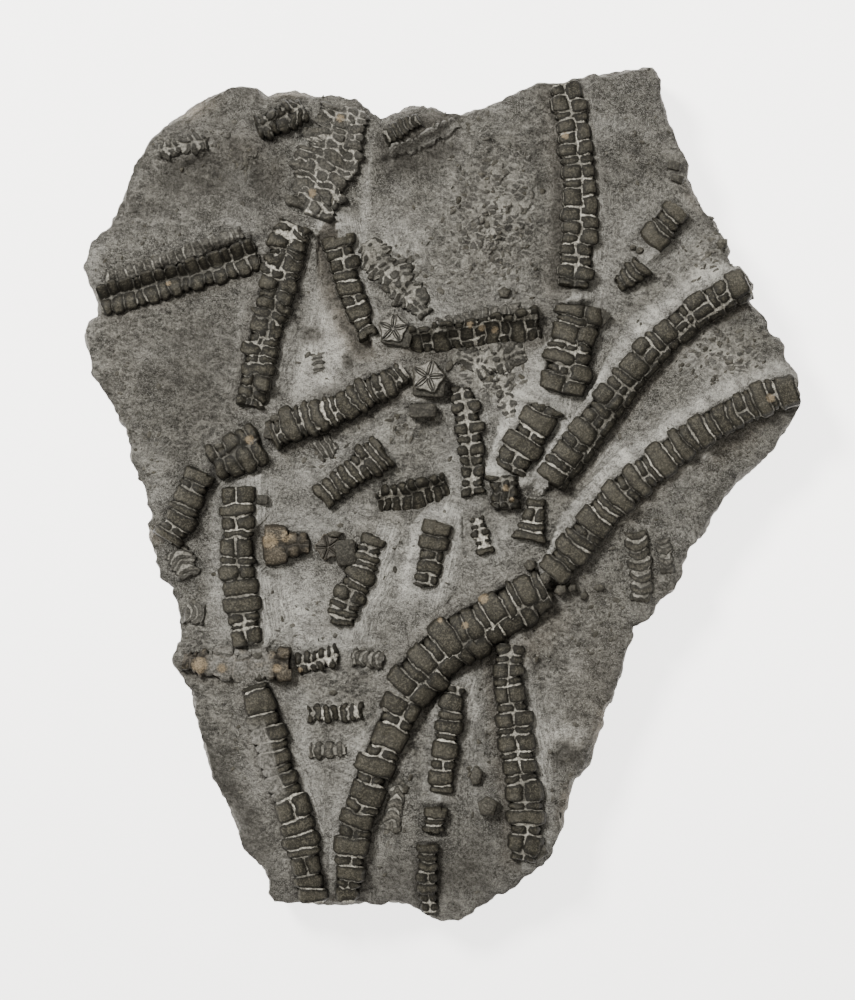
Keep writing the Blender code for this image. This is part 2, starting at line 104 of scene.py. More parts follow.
STEMS = {
    "main_stem_right": dict(
        extend=(9, 9), open=(True, True),
        route=((788, 390, 36), (775, 394, 37), (750, 405, 37), (725, 418, 37), (700, 432, 37),
               (680, 447, 37), (660, 463, 38), (640, 479, 38), (620, 496, 39), (603, 514, 39),
               (588, 532, 39), (574, 550, 38), (557, 570, 34)),
        bars=(22, 9, 16, 8, 12, 9, 15, 9, 17, 10, 14, 9, 19, 8, 9, 15, 9, 17, 8, 10, 20, 8, 9, 18, 8, 18),
        rows=((0.15, 0.10, 0.05, 0.45),), chevron=-0.0004, rim=1, pale=0.9),
    "main_stem_middle": dict(
        extend=(9, 7), open=(True, True),
        route=((538, 594, 46), (515, 606, 52), (490, 621, 54), (466, 636, 56), (445, 652, 56),
               (426, 670, 54), (409, 690, 50)),
        bars=(7, 16, 7, 9, 17, 8, 13, 9, 19, 9, 16, 9, 17), bars_b=(14, 12, 18, 13, 17, 11, 19, 13, 18),
        rows=((0.34, 0.20, 1, 1),), profile="shouldered", rise=1.15, chevron=-0.0003, pale=0.85),
    "main_stem_lower": dict(
        extend=(6, 5), open=(True, True),
        route=((404, 704, 40), (392, 730, 40), (378, 760, 37), (367, 790, 37), (357, 820, 35),
               (351, 850, 33), (348, 880, 31), (347, 898, 31)),
        bars=(19, 10, 25, 10, 18, 9, 20, 11, 15, 10, 18, 9, 16, 8, 14),
        rows=((0.15, 0.0, 0.1, 0.8),), rubble=0.25, pale=0.9),
    "upper_right_stem": dict(
        extend=(11, 0), open=(True, False),
        route=((738, 288, 35), (720, 297, 36), (695, 313, 36), (672, 333, 36), (650, 354, 36),
               (632, 374, 36), (615, 396, 37), (600, 416, 38), (583, 438, 40), (565, 462, 40),
               (549, 486, 36)),
        bars=(20, 12, 9, 20, 9, 12, 18, 9, 16, 20, 9, 10, 19, 9, 13, 18, 9, 16, 9, 18),
        bars_b=(14, 12, 15, 13, 16, 11, 14, 17, 12, 15, 13, 16, 12, 14, 17, 13),
        rows=((0.50, 0.46, 1, 1), (-0.15, -0.1, 0.05, 0.5)), profile="shouldered", rim=1, pale=0.7),
    "top_right_stem": dict(
        extend=(5, 0), open=(True, False),
        route=((566, 88, 34), (571, 110, 36), (577, 150, 37), (580, 200, 37), (578, 250, 38),
               (572, 291, 36)),
        bars=(11, 16, 9, 15, 10, 13, 9, 15, 9, 20, 14, 14, 9, 13, 10, 13, 12),
        bars_b=(17, 13, 10, 18, 14, 9, 13, 17, 18, 14, 15, 12, 9, 13, 12),
        rows=((0.05, 0.0, 1, 1),), profile="flat", rise=0.8, rim=-1, pale=0.9),
    "elbow_stem_upper": dict(
        extend=(0, 4),
        route=((581, 303, 46), (578, 325, 50), (572, 347, 50), (566, 370, 50), (561, 391, 46)),
        bars=(14, 8, 19, 8, 14, 9, 20), bars_b=(19, 17, 7, 12, 15, 16),
        rows=((0.30, 0.05, 0.9, 1), (-0.35, -0.2, 0.0, 0.7)), rubble=0.15, pale=0.9),
    "elbow_stem_lower": dict(
        extend=(2, 8),
        route=((548, 404, 40), (540, 420, 40), (527, 441, 40), (510, 467, 40)),
        bars=(11, 19, 8, 16, 12, 10), rows=((0.0, 0.1, 0.3, 1),), pale=0.9, chevron=-0.0004),
    "crushed_knob": dict(
        extend=(8, 4),
        route=((504, 479, 33), (504, 510, 30)),
        rows=((-0.2, -0.2, 1, 1), (0.35, 0.3, 1, 1)), pitch=0.0022, thin=0.8, rubble=1.0, pale=0.35,
        brown=0.4),
    "left_slant_stem": dict(
        extend=(0, 5), open=(True, False), even=0.4,
        route=((99, 301, 34), (180, 279, 35), (252, 256, 34)),
        pitch=0.0026, thin=0.8, rows=((0.10, 0.02, 1, 1),), profile="valley", rise=0.85, pale=0.5),
    "top_left_stem": dict(
        route=((348, 103, 46), (338, 138, 58), (322, 178, 62), (306, 216, 42)),
        rows=((-0.45, -0.1, 0.8, 1), (0.05, 0.4, 0.8, 1), (0.55, 0.8, 0.4, 1)), pitch=0.0022, thin=0.7,
        rubble=1.4,
        rise=0.55, pale=0.75, worn=(*WHOLE_LENGTH, 0.22), flush=True, chevron=0.0008),
    "upper_left_stem": dict(
        route=((298, 220, 36), (290, 240, 42), (283, 268, 42), (275, 300, 42), (266, 330, 38),
               (259, 360, 38), (249, 411, 34)),
        bars=(11, 9, 14, 8, 13, 9, 17, 10, 13, 9, 16, 10, 14, 9, 12, 17, 11, 12),
        rows=((0.05, 0.0, 0.8, 1), (-0.5, -0.3, 0.2, 0.5)), rubble=1.0, pale=0.95, rise=0.8, rim=1),
    "inner_curved_stem": dict(
        extend=(0, 14),
        route=((337, 233, 36), (343, 262, 32), (351, 292, 30), (360, 315, 27), (365, 327, 22)),
        bars=(14, 9, 13, 8, 15, 9, 13, 9, 12), rows=((0.1, 0.1, 0.2, 0.4),), pale=0.95, rubble=0.2,
        chevron=0.0002, rim=-1),
    "cross_stem": dict(
        extend=(8, 6),
        route=((413, 341, 30), (450, 337, 32), (490, 331, 34), (538, 324, 35)),
        bars=(14, 10, 16, 9, 13, 10, 14, 9, 13, 10, 8), bars_b=(10, 12, 11, 13, 9, 12, 11, 13, 10, 12, 12),
        rows=((0.45, 0.45, 1, 1), (-0.25, -0.3, 0.3, 1)), profile="awning", rubble=0.45, pale=0.7,
        rise=1.1, brown=0.35),
    "long_left_stem_upper": dict(
        extend=(7, 5), open=(True, False),
        route=((399, 374, 28), (385, 384, 34), (362, 396, 36), (340, 408, 36), (318, 417, 38),
               (295, 425, 38), (273, 436, 36)),
        bars=(9, 8, 12, 9, 8, 12, 9, 17, 8, 9, 13, 10, 9, 17, 8, 11),
        rows=((0.2, 0.2, 0.2, 0.6),), pale=0.85, rubble=0.35, chevron=-0.0003),
    "long_left_stem_middle": dict(
        extend=(5, 5),
        route=((260, 443, 38), (240, 452, 42), (214, 466, 38)),
        bars=(13, 10, 15, 9, 13), bars_b=(16, 15, 14, 15), rows=((-0.15, -0.1, 1, 1),), pale=0.6,
        rubble=0.4, rise=1.05),
    "long_left_stem_lower": dict(
        extend=(5, 4),
        route=((200, 473, 34), (190, 495, 36), (178, 520, 34), (166, 539, 30)),
        bars=(16, 8, 17, 8, 14, 8, 12), rows=((-0.1, -0.1, 0.1, 0.5),), pale=0.55),
    "left_upright_stem": dict(
        extend=(5, 6), open=(False, True),
        route=((237, 489, 36), (237, 520, 37), (238, 560, 37), (241, 600, 38), (245, 625, 36),
               (247, 639, 34)),
        bars=(19, 11, 13, 7, 17, 8, 14, 15, 16, 9, 5, 16), rows=((0.0, 0.05, 0.7, 0.35),), pale=1.0,
        rubble=0.2),
    "left_cross_stem": dict(
        extend=(7, 2), open=(True, False), even=0.5,
        route=((190, 661, 25), (206, 664, 32), (230, 665, 36), (287, 666, 34)),
        bars=(7, 8, 9, 8, 20, 14, 16, 10, 20), rows=((0.3, 0.4, 0.6, 0.8),), rubble=0.9, pale=0.3,
        brown=0.6, worn=(0.22, 0.78, 0)),
    "left_cross_stem_tip": dict(
        route=((293, 667, 24), (342, 655, 23)),
        bars=(9, 10, 7, 9, 5, 10, 8), bars_b=(12, 8, 6, 9, 7, 9), rows=((0.0, 0.0, 1, 1),), pale=1.0,
        gap=0.00018,
        rise=0.8),
    "left_foot_stem": dict(
        extend=(8, 5), open=(True, True),
        route=((256, 692, 34), (261, 706, 38), (266, 728, 38), (271, 748, 38), (277, 770, 38),
               (287, 796, 36), (294, 818, 36), (301, 840, 36), (306, 862, 34), (310, 884, 33),
               (311, 899, 32)),
        bars=(6, 22, 12, 14, 9, 14, 8, 13, 10, 21, 13, 13, 8, 18, 12, 14),
        rows=((0.0, 0.1, 0.45, 0.1),), pale=0.85, worn=(0.17, 0.50, -1)),
    "centre_foot_stem_upper": dict(
        extend=(10, 0), open=(True, False),
        route=((455, 696, 22), (451, 712, 28), (447, 740, 28), (444, 765, 28), (441, 797, 27)),
        bars=(6, 15, 8, 12, 6, 15, 9, 13, 10), rows=((0.1, 0.1, 0.1, 0.4),), pale=0.95),
    "centre_foot_stem_middle": dict(
        route=((435, 804, 26), (434, 837, 26)), bars=(15, 7, 11), pale=0.9),
    "centre_foot_stem_lower": dict(
        extend=(0, 6), open=(False, True),
        route=((429, 842, 25), (428, 880, 25), (430, 908, 22)),
        bars=(12, 7, 9, 10, 10, 9, 9), rows=((0.0, 0.0, 0.3, 0.8),), pale=0.9),
    "right_foot_stem": dict(
        extend=(14, 4), open=(True, False),
        route=((509, 658, 31), (508, 675, 36), (511, 700, 37), (517, 740, 38), (520, 770, 38),
               (526, 800, 38), (526, 835, 36), (522, 861, 28)),
        bars=(10, 7, 13, 8, 16, 8, 14, 7, 16, 7, 14, 7, 17, 8, 14, 9, 18, 10),
        rows=((0.0, 0.05, 0.75, 1),), pale=1.0),
    "ladder_stem": dict(
        route=((386, 447, 38), (366, 463, 38), (345, 480, 30), (318, 501, 30)),
        bars=(12, 8, 11, 8, 10, 11, 9, 12, 14), rows=((0.0, -0.3, 0.2, 0.2),), pale=1.0),
    "arched_stem": dict(
        extend=(0, 4),
        route=((374, 503, 28), (400, 498, 32), (425, 492, 34), (446, 483, 30)),
        bars=(9, 9, 10, 9, 12, 9, 10, 11), bars_b=(8, 10, 9, 11, 9, 12, 11, 9), rows=((0.2, 0.15, 1, 1),),
        pale=0.8, rubble=0.45, profile="awning"),
    "leaning_stem": dict(
        route=((440, 518, 34), (436, 535, 32), (430, 560, 30), (424, 591, 28)),
        bars=(19, 15, 11, 14, 10, 8), rows=((0.35, 0.3, 0.2, 1),), pale=0.7, rim=1),
    "brown_ended_stem": dict(
        route=((260, 546, 38), (290, 545, 34), (313, 545, 28)),
        bars=(30, 13, 11), rows=((0.0, 0.1, 0.3, 1),), rubble=1.0, pale=0.25, brown=0.9),
    "short_barrel": dict(
        route=((341, 551, 22), (348, 553, 22)), bars=(4, 4), pale=0.2),
    "zigzag_stem": dict(
        route=((375, 532, 26), (367, 555, 28), (359, 578, 33), (347, 602, 34), (341, 629, 32)),
        bars=(13, 8, 9, 7, 15, 8, 13, 9, 8, 10), rows=((0.1, 0.1, 0.1, 0.3),), pale=1.0, gap=0.00022,
        rubble=0.3),
    "top_edge_stem": dict(
        extend=(4, 4),
        route=((384, 138, 20), (402, 128, 22), (420, 119, 20)), bars=(7, 6, 7, 6, 7, 6, 6), pale=0.7,
        rubble=0.3),
    "upper_left_stub": dict(
        extend=(4, 6),
        route=((257, 129, 26), (283, 119, 34), (303, 109, 28)), bars=(10, 7, 9, 7, 9, 7, 8),
        rows=((0.1, 0.2, 1, 1),),
        pale=0.6, rubble=1.0),
    "right_edge_stem": dict(
        route=((682, 204, 28), (668, 222, 33), (647, 246, 30)), bars=(17, 9, 5, 20), pale=0.5,
        chevron=-0.0004),
    "right_edge_stem_tip": dict(
        route=((645, 261, 28), (632, 275, 26), (616, 288, 16)), bars=(12, 8, 9, 10), pale=0.5,
        chevron=-0.0004),
    "centre_column": dict(
        route=((461, 382, 22), (464, 400, 30), (468, 425, 32), (471, 450, 31), (472, 475, 24),
               (474, 500, 22)),
        bars=(9, 10, 12, 9, 13, 9, 12, 10, 12, 9, 13), rows=((0.0, 0.0, 1, 1),), pale=0.9, gap=0.00017,
        rise=0.7,
        profile="flat"),
    "centre_column_foot": dict(
        route=((476, 513, 17), (480, 530, 20), (487, 558, 20)),
        bars=(9, 7, 10, 7, 13), rows=((0.0, 0.0, 0.5, 1),), pale=1.0, gap=0.00020, rise=0.7),
    "heel_stem": dict(
        extend=(2, 4),
        route=((537, 498, 20), (535, 512, 25), (530, 540, 36)),
        bars=(10, 13, 8, 12), rows=((0.0, -0.1, 0.6, 0.6),), pale=0.9, rise=0.85),
    "rib_ladder": dict(
        route=((635, 528, 24), (640, 560, 26), (642, 590, 26), (640, 606, 22)),
        bars=(10, 12, 10, 11, 12, 12, 12), pale=0.75, gap=0.00034, rise=0.40, chevron=-0.0012,
        worn=(*WHOLE_LENGTH, 0.10),
        flush=True),
    "low_stem": dict(
        route=((305, 714, 20), (335, 713, 20), (366, 713, 20)),
        bars=(8, 9, 10, 9, 10, 8, 9), pale=0.9, rise=0.5, rubble=0.6, gap=0.00024,
        flush=True),
}

# Stretches of stem that are worn nearly flush with the stone.
GHOSTS = {
    "ghost_row_left": dict(
        route=((100, 281, 17), (150, 266, 18), (200, 248, 18), (246, 231, 14)), pitch=0.0019, thin=0.9,
        pale=1.0, rise=0.30, worn=(*WHOLE_LENGTH, 0.35), gap=0.00018),
    "crushed_row": dict(
        route=((366, 238, 22), (378, 258, 34), (397, 282, 36), (416, 304, 28), (428, 318, 16)),
        pitch=0.0018, thin=0.8,
        rows=((-0.3, -0.1, 1, 1), (0.35, 0.3, 1, 1)), pale=1.0, rise=0.28, rubble=1.1, gap=0.00022,
        chevron=0.0012,
        worn=(*WHOLE_LENGTH, 0.1)),
    "ghost_ribs": dict(
        route=((316, 350, 16), (319, 376, 16)), bars=(5, 4, 5, 4, 5), pale=0.5, rise=0.14,
        worn=(*WHOLE_LENGTH, 0.15),
        gap=0.00030),
    "ghost_bars": dict(
        route=((314, 455, 26), (336, 439, 26)), bars=(5, 4, 5, 4, 4), pale=0.7, rise=0.24,
        worn=(*WHOLE_LENGTH, 0.15)),
    "right_ghost": dict(
        route=((662, 536, 18), (667, 556, 18), (668, 577, 14)), bars=(8, 10, 9, 11), pale=0.6, rise=0.30,
        worn=(*WHOLE_LENGTH, 0.1), chevron=-0.0011, gap=0.00030),
    "left_ghost": dict(
        route=((174, 546, 26), (182, 563, 30), (190, 582, 26)), bars=(6, 5, 6, 5, 6, 5), pale=0.6,
        rise=0.30,
        worn=(*WHOLE_LENGTH, 0.15), chevron=0.0014, gap=0.00022),
    "lower_left_ghost": dict(
        route=((180, 612, 24), (208, 617, 24)), bars=(6, 5, 6, 6), pale=0.6, rise=0.28,
        worn=(*WHOLE_LENGTH, 0.2),
        chevron=-0.0012),
    "tip_ghost": dict(
        route=((348, 657, 22), (388, 660, 24)), bars=(7, 8, 7, 6, 8), pale=0.7, rise=0.30,
        worn=(*WHOLE_LENGTH, 0.15),
        chevron=0.0014, gap=0.00024),
    "foot_ghost": dict(
        route=((306, 751, 18), (350, 750, 16)), bars=(7, 8, 10, 8, 5), pale=0.9, rise=0.30,
        worn=(*WHOLE_LENGTH, 0.1),
        gap=0.00026),
    "foot_ghost_side": dict(
        route=((398, 770, 16), (396, 800, 18), (388, 836, 16)), bars=(6, 8, 7, 9, 8, 7), pale=0.8,
        rise=0.24,
        worn=(*WHOLE_LENGTH, 0.15), chevron=0.0018, gap=0.00026, rubble=0.8),
    "upper_ledge_row": dict(
        route=((152, 152, 18), (180, 146, 22), (212, 140, 18)), pitch=0.0016, thin=0.8,
        rows=((0.0, 0.1, 1, 1),), pale=0.8, rise=0.34, rubble=1.3, gap=0.00014, worn=(*WHOLE_LENGTH, 0.05)),
    "edge_ridge": dict(
        route=((386, 152, 14), (408, 146, 16), (440, 132, 16), (460, 118, 12)), pitch=0.0022, thin=0.8,
        pale=0.35,
        rise=0.50, rubble=1.5, worn=(*WHOLE_LENGTH, 0.0)),
    "under_cross_ghost": dict(
        route=((452, 352, 22), (486, 362, 30), (528, 352, 22)), pitch=0.0017, thin=0.8,
        rows=((-0.3, -0.1, 1, 1), (0.35, 0.3, 1, 1)), pale=1.0, rise=0.24, rubble=1.2, gap=0.00024,
        chevron=0.0012,
        worn=(*WHOLE_LENGTH, 0.1)),
    "column_side_ghost": dict(
        route=((498, 372, 18), (506, 396, 20), (512, 420, 14)), pitch=0.0018, thin=0.8,
        rows=((0.0, 0.0, 1, 1),),
        pale=1.0, rise=0.20, rubble=1.1, gap=0.00026, worn=(*WHOLE_LENGTH, 0.15)),
    "side_of_cross": dict(
        route=((434, 324, 12), (470, 318, 14), (524, 308, 14)), pitch=0.0022, thin=0.7, pale=0.8,
        rise=0.34, rubble=0.9,
        worn=(*WHOLE_LENGTH, 0.2)),
}
for worn_row in GHOSTS.values():
    worn_row["flush"] = True

# How a stem's height goes across it, from its right edge to its left, looking along it.
PROFILES = {
    "round": ((-1, 0), (-0.97, 0.50), (-0.90, 0.78), (-0.72, 0.92), (-0.35, 0.99), (0.35, 0.99),
              (0.72, 0.92),
              (0.90, 0.78), (0.97, 0.50), (1, 0)),
    "flat": ((-1, 0), (-0.97, 0.62), (-0.90, 0.88), (-0.70, 0.97), (0, 1), (0.70, 0.97), (0.90, 0.88),
             (0.97, 0.62), (1, 0)),
    "shouldered": ((-1, 0), (-0.97, 0.52), (-0.90, 0.80), (-0.6, 0.96), (-0.2, 1), (0.2, 0.97),
                   (0.45, 0.90),
                   (0.65, 0.82), (0.85, 0.66), (0.95, 0.42), (1, 0)),
    "valley": ((-1, 0), (-0.95, 0.36), (-0.8, 0.56), (-0.45, 0.62), (-0.15, 0.56), (0.06, 0.42),
               (0.2, 0.44),
               (0.8, 0.92), (0.95, 0.90), (1, 0.6)),
    "awning": ((-1, 0), (-0.92, 0.28), (-0.5, 0.46), (0.0, 0.62), (0.3, 0.80), (0.5, 0.95), (0.8, 1),
               (0.95, 0.7), (1, 0)),
}

# Rusty and tan spots on the stems: (grid x, grid y, radius in grid units).
SPOTS = (
    (565, 136, 4), (483, 598, 6), (465, 625, 4), (770, 398, 5), (441, 517, 3.5), (277, 668, 5),
    (270, 541, 9),
    (470, 325, 4), (482, 328, 4), (495, 330, 4), (250, 440, 5), (200, 665, 9), (222, 668, 6), (506, 488, 4),
    (512, 500, 3), (162, 546, 5), (340, 118, 5), (312, 193, 5), (440, 620, 3), (300, 670, 3), (168, 283, 3),
)

# Each ossicle: grid x, grid y, radius in grid units, height above the stone, turn in radians.
OSSICLES = {
    "star_ossicle": dict(x=393, y=329, radius=16, rise=0.0033, turn=0.20),
    "star_ossicle_on_stack": dict(x=428, y=377, radius=18, rise=0.0040, turn=0.05),
    "disc_ossicle": dict(x=328, y=547, radius=14, rise=0.0024, turn=0.60),
}

# Rises and hollows of the stone: (grid x, grid y, reach in x, reach in y, height in metres).
RELIEF = (
    (170, 205, 80, 45, 0.0010), (180, 390, 70, 60, -0.0004), (410, 132, 42, 22, 0.0024),
    (440, 172, 30, 12, -0.0009), (480, 225, 55, 60, 0.0004), (625, 150, 34, 60, 0.0008),
    (545, 200, 9, 80, -0.0012), (700, 350, 45, 26, 0.0007), (745, 450, 40, 26, -0.0018),
    (690, 530, 30, 40, -0.0014), (570, 690, 34, 60, -0.0012), (564, 754, 12, 11, -0.0022),
    (220, 800, 26, 70, -0.0016), (410, 352, 44, 32, 0.0008), (600, 590, 14, 9, 0.0012),
    (487, 806, 13, 14, 0.0014), (722, 243, 10, 10, 0.0016), (760, 326, 11, 10, 0.0012),
    (504, 292, 9, 9, 0.0010), (402, 398, 20, 12, 0.0010), (275, 412, 12, 9, 0.0012),
    (425, 912, 120, 34, -0.0030), (232, 800, 22, 80, -0.0010), (300, 910, 50, 26, -0.0012),
    (318, 320, 22, 50, -0.0008), (330, 200, 30, 12, -0.0008), (150, 165, 34, 12, -0.0010),
    (490, 720, 12, 60, -0.0010), (400, 800, 14, 40, 0.0006), (320, 750, 24, 12, 0.0006),
    (600, 470, 22, 18, 0.0004), (380, 660, 22, 12, 0.0006), (120, 400, 20, 60, -0.0008),
)

# Stretches of rim that slope outwards: (grid x, grid y, reach, inward shift of the top rim).
WEATHERED_RIMS = (
    (192, 106, 26, 0.0020), (288, 92, 26, 0.0010), (697, 192, 14, 0.0010), (601, 730, 24, 0.0015),
    (566, 806, 22, 0.0013), (342, 906, 26, 0.0010), (745, 475, 26, 0.0010),
)
EDGE_DROP = 0.0012

SLAB_CELL = 0.00048      # spacing of the slab's surface points
STEM_CELL = 0.00022      # spacing of a stem's rings
STEM_SIDES = 42          # points across a stem


# ---------------------------------------------------------------------------------------------
# Layout helpers
# ---------------------------------------------------------------------------------------------
def to_metres(x, y):
    return (np.asarray(x, float) - GRID_MIDDLE[0]) * GRID, (GRID_MIDDLE[1] - np.asarray(y, float)) * GRID


def to_grid(x, y):
    return x / GRID + GRID_MIDDLE[0], GRID_MIDDLE[1] - y / GRID


def lattice(column, row, seed):
    mixed = (column * 374761393 + row * 668265263 + seed * 974634777) & 0xFFFFFFFF
    mixed = ((mixed ^ (mixed >> 13)) * 1274126177) & 0xFFFFFFFF
    return ((mixed ^ (mixed >> 16)) & 0xFFFF) / 65535.0


def soft_noise(x, y, size, seed):
    """Smooth noise from -1 to 1 over points, with lumps of about the given size."""
    u, v = x / size, y / size
    column, row = np.floor(u).astype(np.int64), np.floor(v).astype(np.int64)
    fu, fv = u - column, v - row
    fu, fv = fu * fu * (3 - 2 * fu), fv * fv * (3 - 2 * fv)
    low = lattice(column, row, seed) * (1 - fu) + lattice(column + 1, row, seed) * fu
    high = lattice(column, row + 1, seed) * (1 - fu) + lattice(column + 1, row + 1, seed) * fu
    return 2 * (low * (1 - fv) + high * fv) - 1


def rough_noise(x, y, size, seed, octaves=3):
    total, share = 0.0, 1.0
    for octave in range(octaves):
        total = total + share * soft_noise(x, y, size / 2 ** octave, seed + octave * 17)
        share *= 0.5
    return total / 1.75


def smoothstep(low, high, value):
    share = np.clip((value - low) / (high - low), 0, 1)
    return share * share * (3 - 2 * share)


def stone_height(x, y):
    height = np.full(np.shape(x), MATRIX_LEVEL)
    for gx, gy, reach_x, reach_y, rise in RELIEF:
        mx, my = to_metres(gx, gy)
        away = ((x - mx) / (reach_x * GRID)) ** 2 + ((y - my) / (reach_y * GRID)) ** 2
        height = height + rise * np.exp(-away)
    return height


def smooth_curve(route, spacing=0.0004):
    """Points, directions, widths and distances along a smooth line through a route."""
    knots = np.array([(*to_metres(x, y), width * GRID) for x, y, width in route])
    padded = np.vstack([knots[:1], knots, knots[-1:]])
    fine = []
    for a, b, c, d in zip(padded, padded[1:], padded[2:], padded[3:]):
        t = np.linspace(0, 1, 24, endpoint=False)[:, None]
        fine.append(0.5 * (2 * b + (c - a) * t + (2 * a - 5 * b + 4 * c - d) * t ** 2
                           + (3 * b - a - 3 * c + d) * t ** 3))
    fine = np.vstack(fine + [knots[-1:]])
    run = np.concatenate([[0], np.cumsum(np.linalg.norm(np.diff(fine[:, :2], axis=0), axis=1))])
    count = max(4, int(run[-1] / spacing) + 1)
    distance = np.linspace(0, run[-1], count)
    points = np.stack([np.interp(distance, run, fine[:, axis]) for axis in range(3)], axis=1)
    direction = np.gradient(points[:, :2], axis=0)
    direction /= np.linalg.norm(direction, axis=1)[:, None]
    return points[:, :2], direction, points[:, 2], distance


def rim_loop():
    """The slab's outline, anticlockwise, and its top rim, shifted where weathered rims slope outwards."""
    outline = np.array([to_metres(x, y) for x, y in reversed(OUTLINE)])
    along = np.roll(outline, -1, axis=0) - np.roll(outline, 1, axis=0)
    outward = np.stack([along[:, 1], -along[:, 0]], axis=1)
    outward /= np.linalg.norm(outward, axis=1)[:, None]
    shift = np.zeros(len(outline))
    for x, y, reach, amount in WEATHERED_RIMS:
        away = np.linalg.norm(outline - np.array(to_metres(x, y)), axis=1) / (reach * GRID)
        shift += amount * np.exp(-away ** 2)
    return outline, outline - outward * shift[:, None]


def resample(loop, spacing):
    closed = np.vstack([loop, loop[:1]])
    run = np.concatenate([[0], np.cumsum(np.linalg.norm(np.diff(closed, axis=0), axis=1))])
    distance = np.arange(0, run[-1], spacing)
    return np.stack([np.interp(distance, run, closed[:, axis]) for axis in range(2)], axis=1)


def inside_loop(x, y, loop):
    inside = np.zeros(np.shape(x), bool)
    for (x1, y1), (x2, y2) in zip(loop, np.roll(loop, -1, axis=0)):
        crosses = (y1 > y) != (y2 > y)
        with np.errstate(divide="ignore", invalid="ignore"):
            inside ^= crosses & (x < (x2 - x1) * (y - y1) / (y2 - y1 + 1e-12) + x1)
    return inside


# ---------------------------------------------------------------------------------------------
# Mesh helpers
# ---------------------------------------------------------------------------------------------
def deselect_all():
    if bpy.context.mode != "OBJECT":
        bpy.ops.object.mode_set(mode="OBJECT")
    bpy.ops.object.select_all(action="DESELECT")


def coordinates(piece):
    flat = np.empty(len(piece.data.vertices) * 3)
    piece.data.vertices.foreach_get("co", flat)
    return flat.reshape(-1, 3)


def move_points(piece, points):
    piece.data.vertices.foreach_set("co", np.asarray(points, float).ravel())
    piece.data.update()


def inside_box(points):
    """The points, held within the part's own box."""
    return np.clip(points, np.array(cad_box[0]) + (0.00001, 0.00001, 0), np.array(cad_box[1]) - 0.00001)


def select_points(piece, chosen):
    """Selects the chosen points and the edges whose points are all chosen, and unselects every face."""
    mesh = piece.data
    mesh.vertices.foreach_set("select", chosen)
    ends = np.empty(len(mesh.edges) * 2, np.int64)
    mesh.edges.foreach_get("vertices", ends)
    mesh.edges.foreach_set("select", chosen[ends.reshape(-1, 2)].all(axis=1))
    mesh.polygons.foreach_set("select", np.zeros(len(mesh.polygons), bool))


def border_points(piece):
    """True for each point on the open border of a sheet."""
    mesh = piece.data
    loops = np.empty(len(mesh.loops), np.int64)
    mesh.loops.foreach_get("edge_index", loops)
    uses = np.bincount(loops, minlength=len(mesh.edges))
    ends = np.empty(len(mesh.edges) * 2, np.int64)
    mesh.edges.foreach_get("vertices", ends)
    border = np.zeros(len(mesh.vertices), bool)
    border[ends.reshape(-1, 2)[uses == 1].ravel()] = True
    return border


def paint(piece, name, values):
    """Stores four values a point as a colour attribute."""
    layer = piece.data.color_attributes.new(name, "FLOAT_COLOR", "POINT")
    layer.data.foreach_set("color", np.asarray(values, float).clip(0, 1).ravel())


def add_sheet(name, columns, rows):
    deselect_all()
    bpy.ops.mesh.primitive_grid_add(x_subdivisions=columns, y_subdivisions=rows, size=1, location=(0, 0, 0))
    sheet = bpy.context.object
    sheet.name = name
    sheet.data.name = name
    return sheet


def close_below(piece, depth):
    """Extrudes a sheet's border down to a level and fills the underside."""
    border = border_points(piece)
    bpy.ops.object.mode_set(mode="EDIT")
    bpy.ops.mesh.select_mode(type="EDGE")
    bpy.ops.mesh.select_all(action="DESELECT")
    bpy.ops.object.mode_set(mode="OBJECT")
    select_points(piece, border)
    before = len(piece.data.vertices)
    bpy.ops.object.mode_set(mode="EDIT")
    bpy.ops.mesh.extrude_edges_move()
    bpy.ops.mesh.edge_face_add()
    bpy.ops.object.mode_set(mode="OBJECT")
    points = coordinates(piece)
    points[before:, 2] = depth
    move_points(piece, points)


def finish_piece(piece, material, nodes, smooth=50):
    deselect_all()
    piece.select_set(True)
    bpy.context.view_layer.objects.active = piece
    bpy.ops.object.mode_set(mode="EDIT")
    bpy.ops.mesh.select_all(action="SELECT")
    bpy.ops.mesh.normals_make_consistent(inside=False)
    bpy.ops.object.mode_set(mode="OBJECT")
    bpy.ops.object.shade_smooth_by_angle(angle=math.radians(smooth))
    piece.data.materials.clear()
    piece.data.materials.append(material)
    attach(piece, "root")
    if nodes:
        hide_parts(*nodes)


# ---------------------------------------------------------------------------------------------
# Materials
# ---------------------------------------------------------------------------------------------
def new_group(name, inputs, outputs):
    """An empty shader node group with (name, kind, default) inputs and (name, kind) outputs."""
    group = bpy.data.node_groups.new(name, "ShaderNodeTree")
    for label, kind, default in inputs:
        socket = group.interface.new_socket(label, in_out="INPUT", socket_type=kind)
        socket.default_value = default
    for label, kind in outputs:
        group.interface.new_socket(label, in_out="OUTPUT", socket_type=kind)
    return group, group.nodes.new("NodeGroupInput"), group.nodes.new("NodeGroupOutput")


def noise_node(tree, vector, scale, detail=4.0, roughness=0.6, distortion=0.0):
    node = tree.nodes.new("ShaderNodeTexNoise")
    node.inputs["Scale"].default_value = scale
    node.inputs["Detail"].default_value = detail
    node.inputs["Roughness"].default_value = roughness
    node.inputs["Distortion"].default_value = distortion
    tree.links.new(vector, node.inputs["Vector"])
    return node.outputs["Fac"]


def ramp(tree, value, low, high, start=0.0, end=1.0):
    node = tree.nodes.new("ShaderNodeMapRange")
    node.interpolation_type = "SMOOTHSTEP"
    tree.links.new(value, node.inputs["Value"])
    for label, amount in zip(("From Min", "From Max", "To Min", "To Max"), (low, high, start, end)):
        node.inputs[label].default_value = amount
    return node.outputs["Result"]


